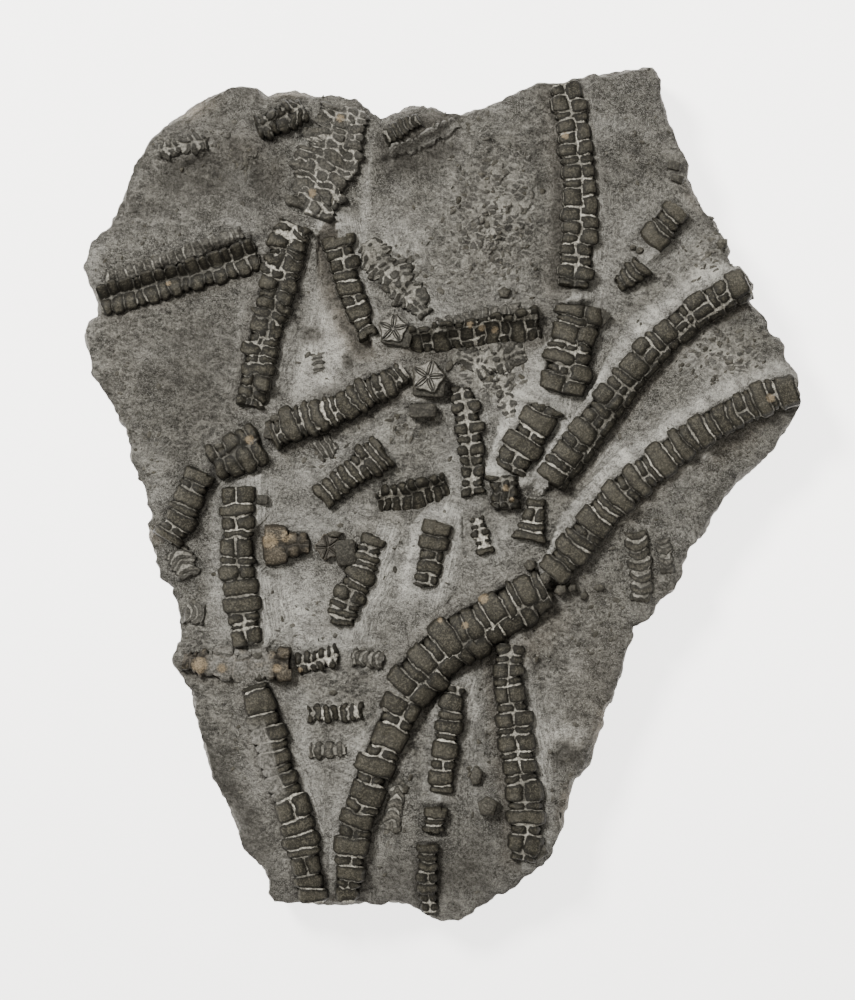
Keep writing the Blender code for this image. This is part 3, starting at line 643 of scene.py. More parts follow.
def combine(tree, operation, a, b):
    node = tree.nodes.new("ShaderNodeMath")
    node.operation = operation
    for socket, value in zip(node.inputs, (a, b)):
        if isinstance(value, (int, float)):
            socket.default_value = value
        else:
            tree.links.new(value, socket)
    return node.outputs["Value"]


def times(tree, a, b):
    return combine(tree, "MULTIPLY", a, b)


def plus(tree, a, b):
    return combine(tree, "ADD", a, b)


def toned(colour, amount):
    """A colour made darker or lighter by an amount."""
    return tuple(amount * part for part in colour)


def blend_colour(tree, share, under, over):
    node = tree.nodes.new("ShaderNodeMix")
    node.data_type = "RGBA"
    sockets = [s for s in node.inputs if s.enabled]
    for socket, value in zip(sockets, (share, under, over)):
        if isinstance(value, (tuple, float, int)):
            socket.default_value = (*value, 1.0) if isinstance(value, tuple) else value
        else:
            tree.links.new(value, socket)
    return [s for s in node.outputs if s.enabled][0]


def make_grain_group():
    """Speckle, blotch and height of fine-grained stone, at a scale in lumps a metre."""
    group, source, result = new_group(
        "stone grain",
        [("Vector", "NodeSocketVector", (0, 0, 0)), ("Fine", "NodeSocketFloat", 2600.0),
         ("Coarse", "NodeSocketFloat", 420.0)],
        [("Speckle", "NodeSocketFloat"), ("Blotch", "NodeSocketFloat"), ("Height", "NodeSocketFloat")])
    fine = group.nodes.new("ShaderNodeTexNoise")
    fine.inputs["Detail"].default_value = 3.0
    fine.inputs["Roughness"].default_value = 0.7
    coarse = group.nodes.new("ShaderNodeTexNoise")
    coarse.inputs["Detail"].default_value = 5.0
    coarse.inputs["Roughness"].default_value = 0.65
    for node, label in ((fine, "Fine"), (coarse, "Coarse")):
        group.links.new(source.outputs["Vector"], node.inputs["Vector"])
        group.links.new(source.outputs[label], node.inputs["Scale"])
    speckle = ramp(group, fine.outputs["Fac"], 0.34, 0.66)
    blotch = ramp(group, coarse.outputs["Fac"], 0.32, 0.68)
    height = plus(group, times(group, fine.outputs["Fac"], 0.45),
                     times(group, coarse.outputs["Fac"], 1.0))
    group.links.new(speckle, result.inputs["Speckle"])
    group.links.new(blotch, result.inputs["Blotch"])
    group.links.new(height, result.inputs["Height"])
    return group


def start_material(name):
    material = bpy.data.materials.new(name)
    material.use_nodes = True
    tree = material.node_tree
    return material, tree, tree.nodes["Principled BSDF"]


def place_grain(tree, group, vector, fine, coarse):
    node = tree.nodes.new("ShaderNodeGroup")
    node.node_tree = group
    node.inputs["Fine"].default_value = fine
    node.inputs["Coarse"].default_value = coarse
    tree.links.new(vector, node.inputs["Vector"])
    return node.outputs


def read_attribute(tree, name):
    node = tree.nodes.new("ShaderNodeAttribute")
    node.attribute_name = name
    split = tree.nodes.new("ShaderNodeSeparateColor")
    tree.links.new(node.outputs["Color"], split.inputs["Color"])
    return split.outputs, node.outputs


def add_bump(tree, surface, height, distance, strength=1.0):
    node = tree.nodes.new("ShaderNodeBump")
    node.inputs["Distance"].default_value = distance
    node.inputs["Strength"].default_value = strength
    tree.links.new(height, node.inputs["Height"])
    tree.links.new(node.outputs["Normal"], surface.inputs["Normal"])


def make_debris_group():
    """Close-set angular flakes: a mask of the flakes, a tone for each, and their height."""
    group, source, result = new_group(
        "stone flakes",
        [("Vector", "NodeSocketVector", (0, 0, 0)), ("Scale", "NodeSocketFloat", 600.0)],
        [("Flake", "NodeSocketFloat"), ("Tone", "NodeSocketFloat"), ("Height", "NodeSocketFloat")])
    sway = group.nodes.new("ShaderNodeTexNoise")
    sway.inputs["Scale"].default_value = 420.0
    sway.inputs["Detail"].default_value = 2.0
    group.links.new(source.outputs["Vector"], sway.inputs["Vector"])
    shift = group.nodes.new("ShaderNodeVectorMath")
    shift.operation = "MULTIPLY_ADD"
    shift.inputs[1].default_value = (0.0018, 0.0018, 0.0018)
    group.links.new(sway.outputs["Color"], shift.inputs[0])
    group.links.new(source.outputs["Vector"], shift.inputs[2])
    turn = group.nodes.new("ShaderNodeMapping")
    turn.inputs["Rotation"].default_value = (0, 0, 0.7)
    turn.inputs["Scale"].default_value = (1.0, 1.55, 1.0)
    group.links.new(shift.outputs["Vector"], turn.inputs["Vector"])
    edge = group.nodes.new("ShaderNodeTexVoronoi")
    edge.feature = "DISTANCE_TO_EDGE"
    cell = group.nodes.new("ShaderNodeTexVoronoi")
    for node in (edge, cell):
        group.links.new(turn.outputs["Vector"], node.inputs["Vector"])
        group.links.new(source.outputs["Scale"], node.inputs["Scale"])
    split = group.nodes.new("ShaderNodeSeparateColor")
    group.links.new(cell.outputs["Color"], split.inputs["Color"])
    kept = ramp(group, split.outputs["Green"], 0.24, 0.42)
    ragged = plus(group, edge.outputs["Distance"],
                     ramp(group, noise_node(group, source.outputs["Vector"], 2600.0, 3.0, 0.7), 0.3, 0.7,
                          -0.10, 0.06))
    flake = times(group, ramp(group, ragged, 0.05, 0.13), kept)
    group.links.new(flake, result.inputs["Flake"])
    group.links.new(split.outputs["Red"], result.inputs["Tone"])
    group.links.new(times(group, flake, plus(group, split.outputs["Red"], 0.3)),
                    result.inputs["Height"])
    return group


def make_limestone(grain, flakes):
    """Grey limestone: its tone attribute holds pale wear, darkness that is partly the stone's own and
    partly painted shade, tan weathering with tan painted shade beside the stems, and flakes, and its
    flow attribute runs along the nearest stem, for streaks, with their strength as its third."""
    material, tree, surface = start_material("grey limestone")
    place = tree.nodes.new("ShaderNodeTexCoord").outputs["Object"]
    tone, whole = read_attribute(tree, "tone")
    flow_parts, flow = read_attribute(tree, "flow")
    specks = place_grain(tree, grain, place, 4600.0, 1700.0)
    bedding = tree.nodes.new("ShaderNodeMapping")
    bedding.vector_type = "TEXTURE"
    bedding.inputs["Rotation"].default_value = (0.0, 0.0, -0.35)
    bedding.inputs["Scale"].default_value = (1.7, 1.0, 1.0)
    tree.links.new(place, bedding.inputs["Vector"])
    lumps = place_grain(tree, grain, bedding.outputs["Vector"], 1100.0, 460.0)
    clouds = place_grain(tree, grain, bedding.outputs["Vector"], 270.0, 100.0)
    stretch = tree.nodes.new("ShaderNodeMapping")
    stretch.inputs["Scale"].default_value = (0.15, 1.0, 0.0)
    tree.links.new(flow["Vector"], stretch.inputs["Vector"])
    streaks = ramp(tree, noise_node(tree, stretch.outputs["Vector"], 2000.0, 5.0, 0.7), 0.38, 0.62)
    debris = tree.nodes.new("ShaderNodeGroup")
    debris.node_tree = flakes
    debris.inputs["Scale"].default_value = 520.0
    tree.links.new(place, debris.inputs["Vector"])

    rough = plus(tree, times(tree, specks["Blotch"], 0.52),
                    times(tree, lumps["Blotch"], 0.27))
    rough = plus(tree, rough, times(tree, lumps["Speckle"], 0.24))
    body = blend_colour(tree, clouds["Speckle"], (0.062, 0.060, 0.052), (0.215, 0.208, 0.180))
    body = blend_colour(tree, times(tree, clouds["Blotch"], 0.45), body, (0.110, 0.107, 0.098))
    along = blend_colour(tree, streaks, (0.070, 0.068, 0.062), (0.290, 0.284, 0.262))
    body = blend_colour(tree, times(tree, flow_parts["Blue"], 0.60), body, along)
    body = blend_colour(tree, ramp(tree, rough, 0.49, 0.27, 0.0, 0.84), body, (0.036, 0.034, 0.029))
    body = blend_colour(tree, ramp(tree, rough, 0.56, 0.78, 0.0, 0.68), body, (0.330, 0.320, 0.282))
    pale = blend_colour(tree, streaks, (0.290, 0.286, 0.268), (0.620, 0.610, 0.560))
    pale = blend_colour(tree, ramp(tree, rough, 0.46, 0.22, 0.0, 0.52), pale, (0.115, 0.111, 0.099))
    pale = blend_colour(tree, ramp(tree, rough, 0.58, 0.82, 0.0, 0.50), pale, (0.680, 0.665, 0.605))
    # Dark stone, laid on the stone's own dark patches and as painted shade beside stems, in hollows and
    # along the rim
    dark = blend_colour(tree, rough, (0.020, 0.0175, 0.0130), (0.098, 0.091, 0.078))
    # Tan, for weathered rims and for the tan painted shade on the stems' shaded sides
    tan = blend_colour(tree, rough, (0.140, 0.112, 0.078), (0.400, 0.340, 0.250))

    pale_share = times(tree, tone["Red"], ramp(tree, lumps["Height"], 0.4, 0.9, 0.55, 1.0))
    dark_and_shade_share = times(tree, tone["Green"], ramp(tree, lumps["Height"], 0.4, 0.9, 1.0, 0.72))
    tan_and_shade_share = times(tree, tone["Blue"], ramp(tree, lumps["Height"], 0.45, 0.9, 0.4, 1.0))
    colour = blend_colour(tree, pale_share, body, pale)
    colour = blend_colour(tree, tan_and_shade_share, colour, tan)
    colour = blend_colour(tree, ramp(tree, specks["Speckle"], 0.72, 0.90, 0.0, 0.50), colour,
                          (0.640, 0.622, 0.565))
    colour = blend_colour(tree, ramp(tree, specks["Speckle"], 0.28, 0.10, 0.0, 0.60), colour,
                          (0.026, 0.023, 0.018))
    flake_colour = blend_colour(tree, debris.outputs["Tone"], (0.019, 0.0175, 0.014), (0.082, 0.078, 0.069))
    ground = blend_colour(tree, ramp(tree, rough, 0.30, 0.75), (0.215, 0.207, 0.182), (0.460, 0.443, 0.388))
    flaked = blend_colour(tree, debris.outputs["Flake"], ground, flake_colour)
    flake_share = times(tree, whole["Alpha"], ramp(tree, clouds["Blotch"], 0.1, 0.6, 0.75, 1.0))
    colour = blend_colour(tree, flake_share, colour, flaked)
    # The dark colour by the tone's second channel: the stone's own dark patches and painted shade
    colour = blend_colour(tree, dark_and_shade_share, colour, dark)
    tree.links.new(colour, surface.inputs["Base Color"])
    tree.links.new(ramp(tree, rough, 0.0, 1.0, 0.95, 0.70), surface.inputs["Roughness"])
    surface.inputs["Specular IOR Level"].default_value = 0.30
    height = plus(tree, times(tree, specks["Height"], 1.75), times(tree, lumps["Height"], 1.3))
    height = times(tree, height, combine(tree, "SUBTRACT", 1.0, times(tree, tone["Red"], 0.55)))
    height = plus(tree, height, times(tree, times(tree, streaks, flow_parts["Blue"]), 0.26))
    height = plus(tree, height, times(tree, times(tree, debris.outputs["Height"], whole["Alpha"]), 0.70))
    add_bump(tree, surface, height, 0.00110, 1.0)
    return material


def make_calcite(grain, name, deep, light, suture):
    """Dark satin calcite. Its make attribute holds the distance from a suture in millimetres, each block's
    own tone, how pale its sutures are, and rust; its second attribute holds erosion and, in its second
    channel, darkening: painted shade on the stems' flanks turned from the light and on the ossicles' rims,
    and a darker tone for the loose blocks and some crumbs."""
    material, tree, surface = start_material(name)
    place = tree.nodes.new("ShaderNodeTexCoord").outputs["Object"]
    make, whole = read_attribute(tree, "make")
    wear_and_shade, _ = read_attribute(tree, "wear_and_shade")
    specks = place_grain(tree, grain, place, 5600.0, 2100.0)
    clouds = place_grain(tree, grain, place, 1300.0, 300.0)
    tone = plus(tree, times(tree, make["Green"], 0.55),
                   times(tree, clouds["Blotch"], 0.45))
    block = blend_colour(tree, tone, deep, light)
    block = blend_colour(tree, ramp(tree, specks["Blotch"], 0.50, 0.95, 0.0, 0.48), block,
                         toned(light, 2.6))
    block = blend_colour(tree, ramp(tree, specks["Speckle"], 0.76, 0.96, 0.0, 0.40), block,
                         toned(light, 3.2))
    block = blend_colour(tree, ramp(tree, specks["Speckle"], 0.30, 0.0, 0.0, 0.55), block,
                         toned(deep, 0.6))
    distance = plus(tree, make["Red"], ramp(tree, specks["Height"], 0.3, 1.1, -0.15, 0.15))
    rim = ramp(tree, distance, 0.12, 0.95, 0.95, 0.0)
    block = blend_colour(tree, rim, block, toned(deep, 0.55))
    # Darkens by the second channel: painted shade on flanks turned from the light, and darker blocks and
    # crumbs.
    block = blend_colour(tree, times(tree, wear_and_shade["Green"], 0.40), block, toned(deep, 0.5))
    eroded = blend_colour(tree, specks["Blotch"], (0.060, 0.058, 0.052), (0.240, 0.232, 0.210))
    worn = times(tree, wear_and_shade["Red"], ramp(tree, clouds["Blotch"], 0.0, 0.8, 0.55, 1.0))
    block = blend_colour(tree, worn, block, eroded)
    fill = blend_colour(tree, specks["Blotch"], toned(suture, 0.40), suture)
    broken = times(tree, make["Blue"], ramp(tree, clouds["Speckle"], 0.15, 0.75, 0.45, 1.0))
    infill = times(tree, broken, ramp(tree, distance, 0.03, 0.14, 1.0, 0.0))
    colour = blend_colour(tree, infill, block, fill)
    rusty = ramp(tree, times(tree, whole["Alpha"], ramp(tree, specks["Blotch"], 0.0, 0.7, 0.6, 1.2)),
                 0.30, 0.85, 0.0, 0.85)
    rust = blend_colour(tree, specks["Speckle"], (0.095, 0.072, 0.045), (0.290, 0.230, 0.150))
    colour = blend_colour(tree, rusty, colour, rust)
    tree.links.new(colour, surface.inputs["Base Color"])
    tree.links.new(ramp(tree, infill, 0.1, 0.8, 0.52, 0.88), surface.inputs["Roughness"])
    surface.inputs["Specular IOR Level"].default_value = 0.15
    height = plus(tree, specks["Height"], times(tree, clouds["Height"], 0.8))
    height = times(tree, height, plus(tree, times(tree, wear_and_shade["Red"], 1.6), 0.7))
    add_bump(tree, surface, height, 0.00022, 1.0)
    return material


def make_paper():
    material, tree, surface = start_material("pale floor")
    place = tree.nodes.new("ShaderNodeTexCoord").outputs["Object"]
    split = tree.nodes.new("ShaderNodeSeparateXYZ")
    tree.links.new(place, split.inputs["Vector"])
    # Painted light on the floor: brighter towards the back, darker towards the front.
    shade = plus(tree, ramp(tree, split.outputs["Y"], -0.13, 0.04, 0.0, 0.9),
                    ramp(tree, noise_node(tree, place, 60.0, 5.0, 0.6), 0.2, 0.8, 0.0, 0.1))
    colour = blend_colour(tree, shade, (0.745, 0.735, 0.722), (0.900, 0.886, 0.868))
    tree.links.new(colour, surface.inputs["Base Color"])
    # The floor glows in its own colour, painted light that brightens the paper and softens the shadows on
    # it.
    tree.links.new(colour, surface.inputs["Emission Color"])
    surface.inputs["Emission Strength"].default_value = 3.7
    surface.inputs["Roughness"].default_value = 0.9
    add_bump(tree, surface, noise_node(tree, place, 900.0, 3.0, 0.6), 0.00008, 0.4)
    return material


# ---------------------------------------------------------------------------------------------
# The stems' lie, gathered once for the slab's sculpting
# ---------------------------------------------------------------------------------------------
class Lie:
    """Every stem's middle line as one list of points, for finding what lies beside a spot."""

    def __init__(self):
        names, points, across, widths, runs, ends = [], [], [], [], [], []
        for index, stem in enumerate(STEMS.values()):
            middle, direction, width, distance = smooth_curve(lengthened(stem), 0.0008)
            names += [index] * len(middle)
            ends += [-1] + [0] * (len(middle) - 2) + [1]
            points.append(middle)
            across.append(np.stack([-direction[:, 1], direction[:, 0]], axis=1))
            widths.append(width)
            runs.append(distance)
        self.order = list(STEMS)
        self.names = np.array(names)
        self.points = np.vstack(points)
        self.across = np.vstack(across)
        self.widths = np.concatenate(widths)
        self.runs = np.concatenate(runs)
        self.inward = np.concatenate([np.minimum(run, run[-1] - run) for run in runs])
        self.ends = np.array(ends)
        self.flush = np.array([stem.get("flush", False) for stem in STEMS.values()])

    def nearest(self, x, y):
        """For each spot: the nearest stem's index, the distance beyond its side, the signed side,
        the run along it, how much farther off the next stem is, and the run from its nearer end."""
        best = np.full(len(x), np.inf)
        following = np.full(len(x), np.inf)
        which = np.zeros(len(x), np.int64)
        for index in range(len(self.order)):
            own = np.flatnonzero(self.names == index)
            away = np.hypot(x[:, None] - self.points[own, 0], y[:, None] - self.points[own, 1])
            away = away - self.widths[own] / 2
            closest = away.argmin(axis=1)
            nearer = away[np.arange(len(x)), closest]
            better = nearer < best
            following = np.where(better, best, np.minimum(following, nearer))
            best[better] = nearer[better]
            which[better] = own[closest[better]]
        offset = np.stack([x, y], axis=1) - self.points[which]
        across = self.across[which]
        side = (offset * across).sum(axis=1)
        ahead = (offset[:, 0] * across[:, 1] - offset[:, 1] * across[:, 0]) * self.ends[which]
        past_end = np.hypot(ahead, np.maximum(np.abs(side) - self.widths[which] / 2, 0))
        beyond = np.where(ahead > 0, past_end, best)
        return self.names[which], beyond, side, self.runs[which], following - best, self.inward[which]


# Worn troughs beside stems: stem, which side, how wide, how deep, how pale and how dark; the darkness is
# painted shade on the stems' shaded sides, laid partly as tan.
TROUGHS = {
    "upper_right_stem": ((-1, 0.0036, 0.0004, 0.95, 0.0), (1, 0.0016, 0.0008, 0.0, 0.5)),
    "main_stem_right": ((-1, 0.0032, 0.0005, 0.9, 0.0), (1, 0.0014, 0.0006, 0.3, 0.2)),
    "main_stem_middle": ((-1, 0.0030, 0.0008, 0.35, 0.25), (1, 0.0014, 0.0008, 0.0, 0.5)),
    "main_stem_lower": ((-1, 0.0022, 0.0006, 0.4, 0.0), (1, 0.0016, 0.0006, 0.1, 0.2)),
    "elbow_stem_upper": ((-1, 0.0022, 0.0005, 0.6, 0.0),),
    "elbow_stem_lower": ((-1, 0.0030, 0.0004, 0.9, 0.0), (1, 0.0016, 0.0004, 0.6, 0.0)),
    "top_right_stem": ((-1, 0.0026, 0.0010, 0.0, 0.55), (1, 0.0012, 0.0003, 0.3, 0.1)),
    "right_foot_stem": ((-1, 0.0016, 0.0007, 0.0, 0.6), (1, 0.0014, 0.0003, 0.4, 0.0)),
    "left_upright_stem": ((-1, 0.0014, 0.0004, 0.3, 0.0), (1, 0.0030, 0.0004, 0.8, 0.0)),
    "inner_curved_stem": ((-1, 0.0028, 0.0014, 0.0, 1.60), (1, 0.0016, 0.0004, 0.4, 0.0)),
    "upper_left_stem": ((-1, 0.0016, 0.0006, 0.2, 0.2), (1, 0.0016, 0.0003, 0.2, 0.1)),
    "left_slant_stem": ((-1, 0.0012, 0.0005, 0.0, 0.3), (1, 0.0010, 0.0002, 0.3, 0.0)),
    "leaning_stem": ((1, 0.0030, 0.0004, 0.8, 0.0), (-1, 0.0020, 0.0004, 0.8, 0.0)),
    "zigzag_stem": ((1, 0.0026, 0.0004, 0.8, 0.0), (-1, 0.0018, 0.0005, 0.3, 0.2)),
    "centre_foot_stem_upper": ((-1, 0.0014, 0.0004, 0.5, 0.0), (1, 0.0014, 0.0005, 0.2, 0.2)),
    "left_foot_stem": ((1, 0.0012, 0.0004, 0.2, 0.1), (-1, 0.0014, 0.0004, 0.2, 0.2)),
    "long_left_stem_upper": ((-1, 0.0010, 0.0004, 0.3, 0.1), (1, 0.0016, 0.0005, 0.0, 0.4)),
    "cross_stem": ((-1, 0.0012, 0.0005, 0.0, 0.4),),
    "left_cross_stem": ((-1, 0.0012, 0.0005, 0.0, 0.5),),
}

# How steeply a patch fades at its edge.
TONE_EDGE = 1.3
PATCH_EDGE = 1.5

# Stretches of tone: (grid x, grid y, reach x, reach y, turn in degrees, pale, dark, tan); the dark and tan
# are partly the stone's own and partly painted shade, below ledges and lumps, beside stems and along the
# lower rim.
TONES = (
    (200, 150, 80, 60, -30, 0, 0.3, 0), (140, 215, 40, 30, -30, 0, 0.25, 0),
    (250, 180, 50, 30, 0, 0, 0.3, 0), (470, 165, 60, 50, 0, 0, 0.2, 0), (235, 820, 26, 90, -15, 0, 0.45, 0),
    (400, 885, 110, 26, 0, 0, 0.5, 0), (205, 345, 50, 60, 0, 0, 0.18, 0),
    (420, 150, 40, 24, -20, 0, 0.3, 0), (620, 250, 40, 60, 0, 0.25, 0, 0),
    (340, 300, 26, 50, 0, 0.35, 0, 0), (300, 370, 40, 20, -20, 0.35, 0, 0),
    (300, 520, 60, 16, 0, 0.45, 0, 0), (345, 450, 60, 14, -25, 0.3, 0, 0),
    (510, 440, 14, 60, 10, 0.45, 0, 0), (520, 400, 30, 14, 0, 0.4, 0, 0),
    (300, 720, 12, 60, -10, 0.45, 0, 0), (310, 790, 12, 60, -10, 0.45, 0, 0),
    (470, 690, 14, 60, 0, 0.45, 0, 0), (540, 745, 20, 60, 5, 0.35, 0, 0), (330, 640, 40, 10, 0, 0.45, 0, 0),
    (200, 500, 14, 14, 0, 0.4, 0, 0), (216, 600, 12, 60, 0, 0.45, 0, 0), (480, 560, 24, 40, 20, 0.3, 0, 0),
    (567, 757, 9, 8, -30, 0, 1.2, 0), (560, 738, 20, 8, -20, 0.6, 0, 0), (590, 400, 12, 14, 0, 0.3, 0, 0),
    (640, 345, 20, 14, -40, 0.3, 0, 0), (190, 160, 20, 6, -15, 0, 0.9, 0),
    (186, 174, 34, 12, -20, 0, 0.35, 0), (205, 175, 70, 45, 0, 0, 0.22, 0),
    (415, 140, 44, 22, -30, 0, 0.45, 0.12), (440, 155, 26, 9, -30, 0, 0.6, 0),
    (395, 235, 26, 30, -30, 0.5, 0, 0), (505, 285, 30, 20, 0, 0.35, 0, 0), (600, 300, 14, 60, 5, 0.4, 0, 0),
    (320, 340, 26, 60, 20, 0.65, 0, 0.05), (500, 360, 30, 16, 0, 0.4, 0, 0),
    (420, 870, 50, 40, 0, 0, 0.4, 0), (480, 850, 30, 50, 0, 0, 0.35, 0), (265, 850, 16, 40, -25, 0, 0.4, 0),
    (235, 800, 16, 40, -25, 0, 0.3, 0), (340, 610, 30, 50, 0, 0.25, 0, 0), (290, 610, 26, 34, 0, 0.3, 0, 0),
    (550, 735, 22, 30, 0, 0.35, 0, 0), (500, 545, 16, 26, 0, 0.45, 0, 0), (355, 512, 22, 12, 0, 0.3, 0, 0),
    (710, 350, 40, 24, 30, 0.25, 0, 0.05), (320, 440, 20, 12, 0, 0.25, 0, 0),
    (640, 500, 14, 60, 40, 0, 0, 0.15), (185, 395, 55, 75, 20, 0, 0.42, 0),
    (625, 150, 36, 62, 0, 0, 0.18, 0), (600, 690, 40, 70, 15, 0.15, 0.15, 0.15),
    (225, 800, 22, 80, -20, 0, 0.3, 0), (455, 480, 26, 80, 10, 0.65, 0, 0),
    (400, 580, 30, 50, 15, 0.55, 0, 0), (300, 600, 26, 60, 0, 0.5, 0, 0), (300, 480, 40, 16, 0, 0.35, 0, 0),
    (520, 380, 26, 26, 0, 0.55, 0, 0.05), (430, 300, 30, 30, 0, 0.4, 0, 0),
    (455, 150, 22, 30, 0, 0.3, 0, 0), (690, 345, 60, 26, 35, 0.45, 0, 0),
    (690, 250, 30, 40, -30, 0.55, 0, 0), (600, 440, 24, 60, -35, 0.55, 0, 0),
    (205, 186, 14, 8, -20, 0, 0.45, 0), (165, 210, 40, 25, -30, 0.25, 0, 0),
    (195, 108, 22, 9, -25, 0, 0, 0.85), (288, 93, 22, 4, 0, 0, 0, 0.8), (696, 197, 9, 16, -25, 0.3, 0, 0.6),
    (601, 728, 6, 24, 14, 0, 0, 0.7), (565, 806, 6, 24, 12, 0, 0, 0.7), (342, 901, 18, 5, 0, 0, 0, 0.6),
    (154, 536, 8, 10, 0, 0, 0, 0.6), (272, 543, 12, 16, 0, 0, 0, 0.6), (395, 160, 26, 14, 40, 0, 0.55, 0),
    (570, 752, 18, 14, -40, 0, 0.55, 0.1), (740, 440, 50, 14, -35, 0, 0.2, 0.25),
    (540, 640, 40, 14, -40, 0, 0.15, 0.45), (655, 480, 50, 12, -40, 0, 0.1, 0.3),
    (120, 345, 22, 60, 0, 0.1, 0.1, 0.1), (340, 640, 30, 14, 0, 0.4, 0, 0),
    (380, 870, 24, 36, 0, 0.3, 0, 0), (475, 760, 10, 70, 0, 0.35, 0.1, 0),
    (330, 780, 24, 50, 15, 0.35, 0, 0), (490, 860, 30, 40, 0, 0.1, 0.15, 0),
    (210, 140, 40, 20, -20, 0.35, 0, 0.1), (580, 590, 24, 16, 0, 0, 0.35, 0.1),
    (250, 220, 26, 40, -30, 0.1, 0.15, 0), (385, 345, 30, 20, 20, 0.3, 0, 0.2),
    (425, 394, 14, 6, 0, 0.4, 0, 0.5), (556, 235, 6, 75, 2, 0, 0.65, 0), (312, 334, 12, 10, 0, 0, 0.8, 0),
    (347, 361, 6, 9, 0, 0, 0.85, 0), (330, 392, 15, 6, -20, 0, 0.6, 0), (316, 366, 11, 12, 0, 0, 0.45, 0),
    (562, 760, 9, 6, -20, 0, 1.6, 0), (566, 748, 13, 3, -55, 0, 0.9, 0), (398, 160, 5, 6, 0, 0, 1.3, 0),
    (398, 152, 9, 3, 0, 0.8, 0, 0), (390, 160, 3, 8, 0, 0.6, 0, 0), (560, 738, 24, 8, -10, 0.9, 0, 0.1),
    (585, 768, 8, 10, 30, 0, 0.7, 0), (574, 716, 12, 6, -20, 0, 0.5, 0), (545, 715, 8, 12, 0, 0, 0.4, 0),
    (600, 660, 34, 40, 0, 0, 0.25, 0), (575, 660, 10, 30, 0, 0.35, 0, 0.05),
    (274, 170, 12, 12, 0, 0, 0.4, 0.1), (265, 188, 10, 10, 0, 0, 0.6, 0),
    (243, 150, 20, 14, 0, 0, 0.25, 0.2), (428, 128, 34, 14, -25, 0, 0.45, 0.18),
    (365, 200, 5, 60, 4, 0.5, 0, 0), (356, 150, 8, 40, 8, 0, 0.55, 0), (337, 224, 22, 7, 0, 0.8, 0, 0.05),
    (170, 360, 60, 40, 20, 0, 0.12, 0), (236, 345, 5, 60, 8, 0.2, 0, 0), (300, 150, 8, 40, 20, 0.25, 0, 0),
    (175, 345, 70, 12, -15, 0.25, 0, 0), (332, 350, 30, 50, 10, 0.5, 0, 0.05),
    (312, 334, 11, 9, 0, 0, 0.4, 0), (347, 361, 7, 9, 0, 0, 0.3, 0),
)

# Steps in the stone: from and to in grid units, height; the left side, looking along, is higher.
LEDGES = (
    (98, 280, 262, 232, 0.0007, 5), (158, 176, 212, 150, 0.0008, 3), (345, 655, 300, 675, 0.0005, 4),
    (318, 255, 300, 400, 0.0005, 6), (380, 163, 464, 114, 0.0008, 3), (556, 90, 552, 300, 0.0006, 4),
    (500, 650, 512, 860, 0.0005, 5), (620, 540, 560, 640, 0.0006, 10), (690, 440, 600, 530, 0.0006, 8),
)

# Rings of worn columnals that show only as ripples: (grid x, grid y, radius, turn, arc in degrees).
RIPPLES = (
    (182, 566, 13, 200, 110), (186, 574, 17, 200, 110), (182, 612, 10, 180, 120), (192, 616, 15, 180, 120),
    (400, 182, 18, 0, 360), (402, 552, 10, 0, 360), (504, 292, 10, 0, 360), (760, 324, 10, 20, 150),
    (487, 805, 11, 0, 360), (490, 824, 9, 200, 140), (360, 660, 11, 0, 360), (376, 655, 9, 0, 360),
    (312, 338, 9, 0, 360), (317, 366, 9, 180, 170), (345, 363, 8, 0, 360), (330, 390, 8, 0, 200),
    (245, 430, 9, 0, 360), (672, 560, 10, 200, 140), (676, 580, 12, 200, 140), (205, 172, 9, 0, 200),
)


def patch_share(gx, gy, patch, power):
    """How far a soft oval patch (x, y, reach x, reach y, turn) is felt at each spot, from 0 to 1."""
    x, y, reach_x, reach_y, turn = patch
    angle = math.radians(turn)
    dx, dy = gx - x, gy - y
    along = (dx * math.cos(angle) + dy * math.sin(angle)) / reach_x
    over = (-dx * math.sin(angle) + dy * math.cos(angle)) / reach_y
    return np.exp(-(along ** 2 + over ** 2) ** power)


def sculpt_tones(gx, gy):
    tone = np.zeros((len(gx), 4))
    for *patch, pale, dark, tan in TONES:
        share = patch_share(gx, gy, patch, TONE_EDGE)
        for channel, amount in enumerate((pale, dark, tan)):
            tone[:, channel] += amount * share
    return tone


def sculpt_ledges(gx, gy):
    height = np.zeros(len(gx))
    for x1, y1, x2, y2, rise, soft in LEDGES:
        length = math.hypot(x2 - x1, y2 - y1)
        ux, uy = (x2 - x1) / length, (y2 - y1) / length
        along = ((gx - x1) * ux + (gy - y1) * uy) / length
        over = (gx - x1) * uy - (gy - y1) * ux
        over = over + 4 * soft_noise(gx, gy, 18, 91)
        window = np.exp(-np.clip(np.abs(along - 0.5) - 0.42, 0, None) ** 2 / 0.01)
        reach = np.exp(-(over / 40) ** 2)
        height += rise * window * reach * np.tanh(over / soft)
    return height


# Where flakes of broken crinoid lie close together: (grid x, y, reach x, reach y, turn, how much).
DEBRIS = (
    (495, 215, 46, 70, 0, 0.95), (490, 375, 40, 26, 10, 1.0), (398, 278, 20, 40, -35, 1.0),
    (705, 255, 22, 40, 40, 0.8),
    (725, 350, 50, 26, 30, 1.0), (405, 425, 24, 16, 0, 0.6), (150, 150, 40, 20, -30, 0.5),
    (680, 160, 18, 60, 0, 0.5),
    (470, 180, 50, 40, 0, 0.5), (650, 290, 40, 20, -30, 0.6), (360, 430, 30, 12, -20, 0.4),
    (120, 420, 14, 60, 0, 0.4),
)


def sculpt_debris(gx, gy):
    share = np.zeros(len(gx))
    for *patch, amount in DEBRIS:
        share = np.maximum(share, amount * patch_share(gx, gy, patch, PATCH_EDGE))
    return share


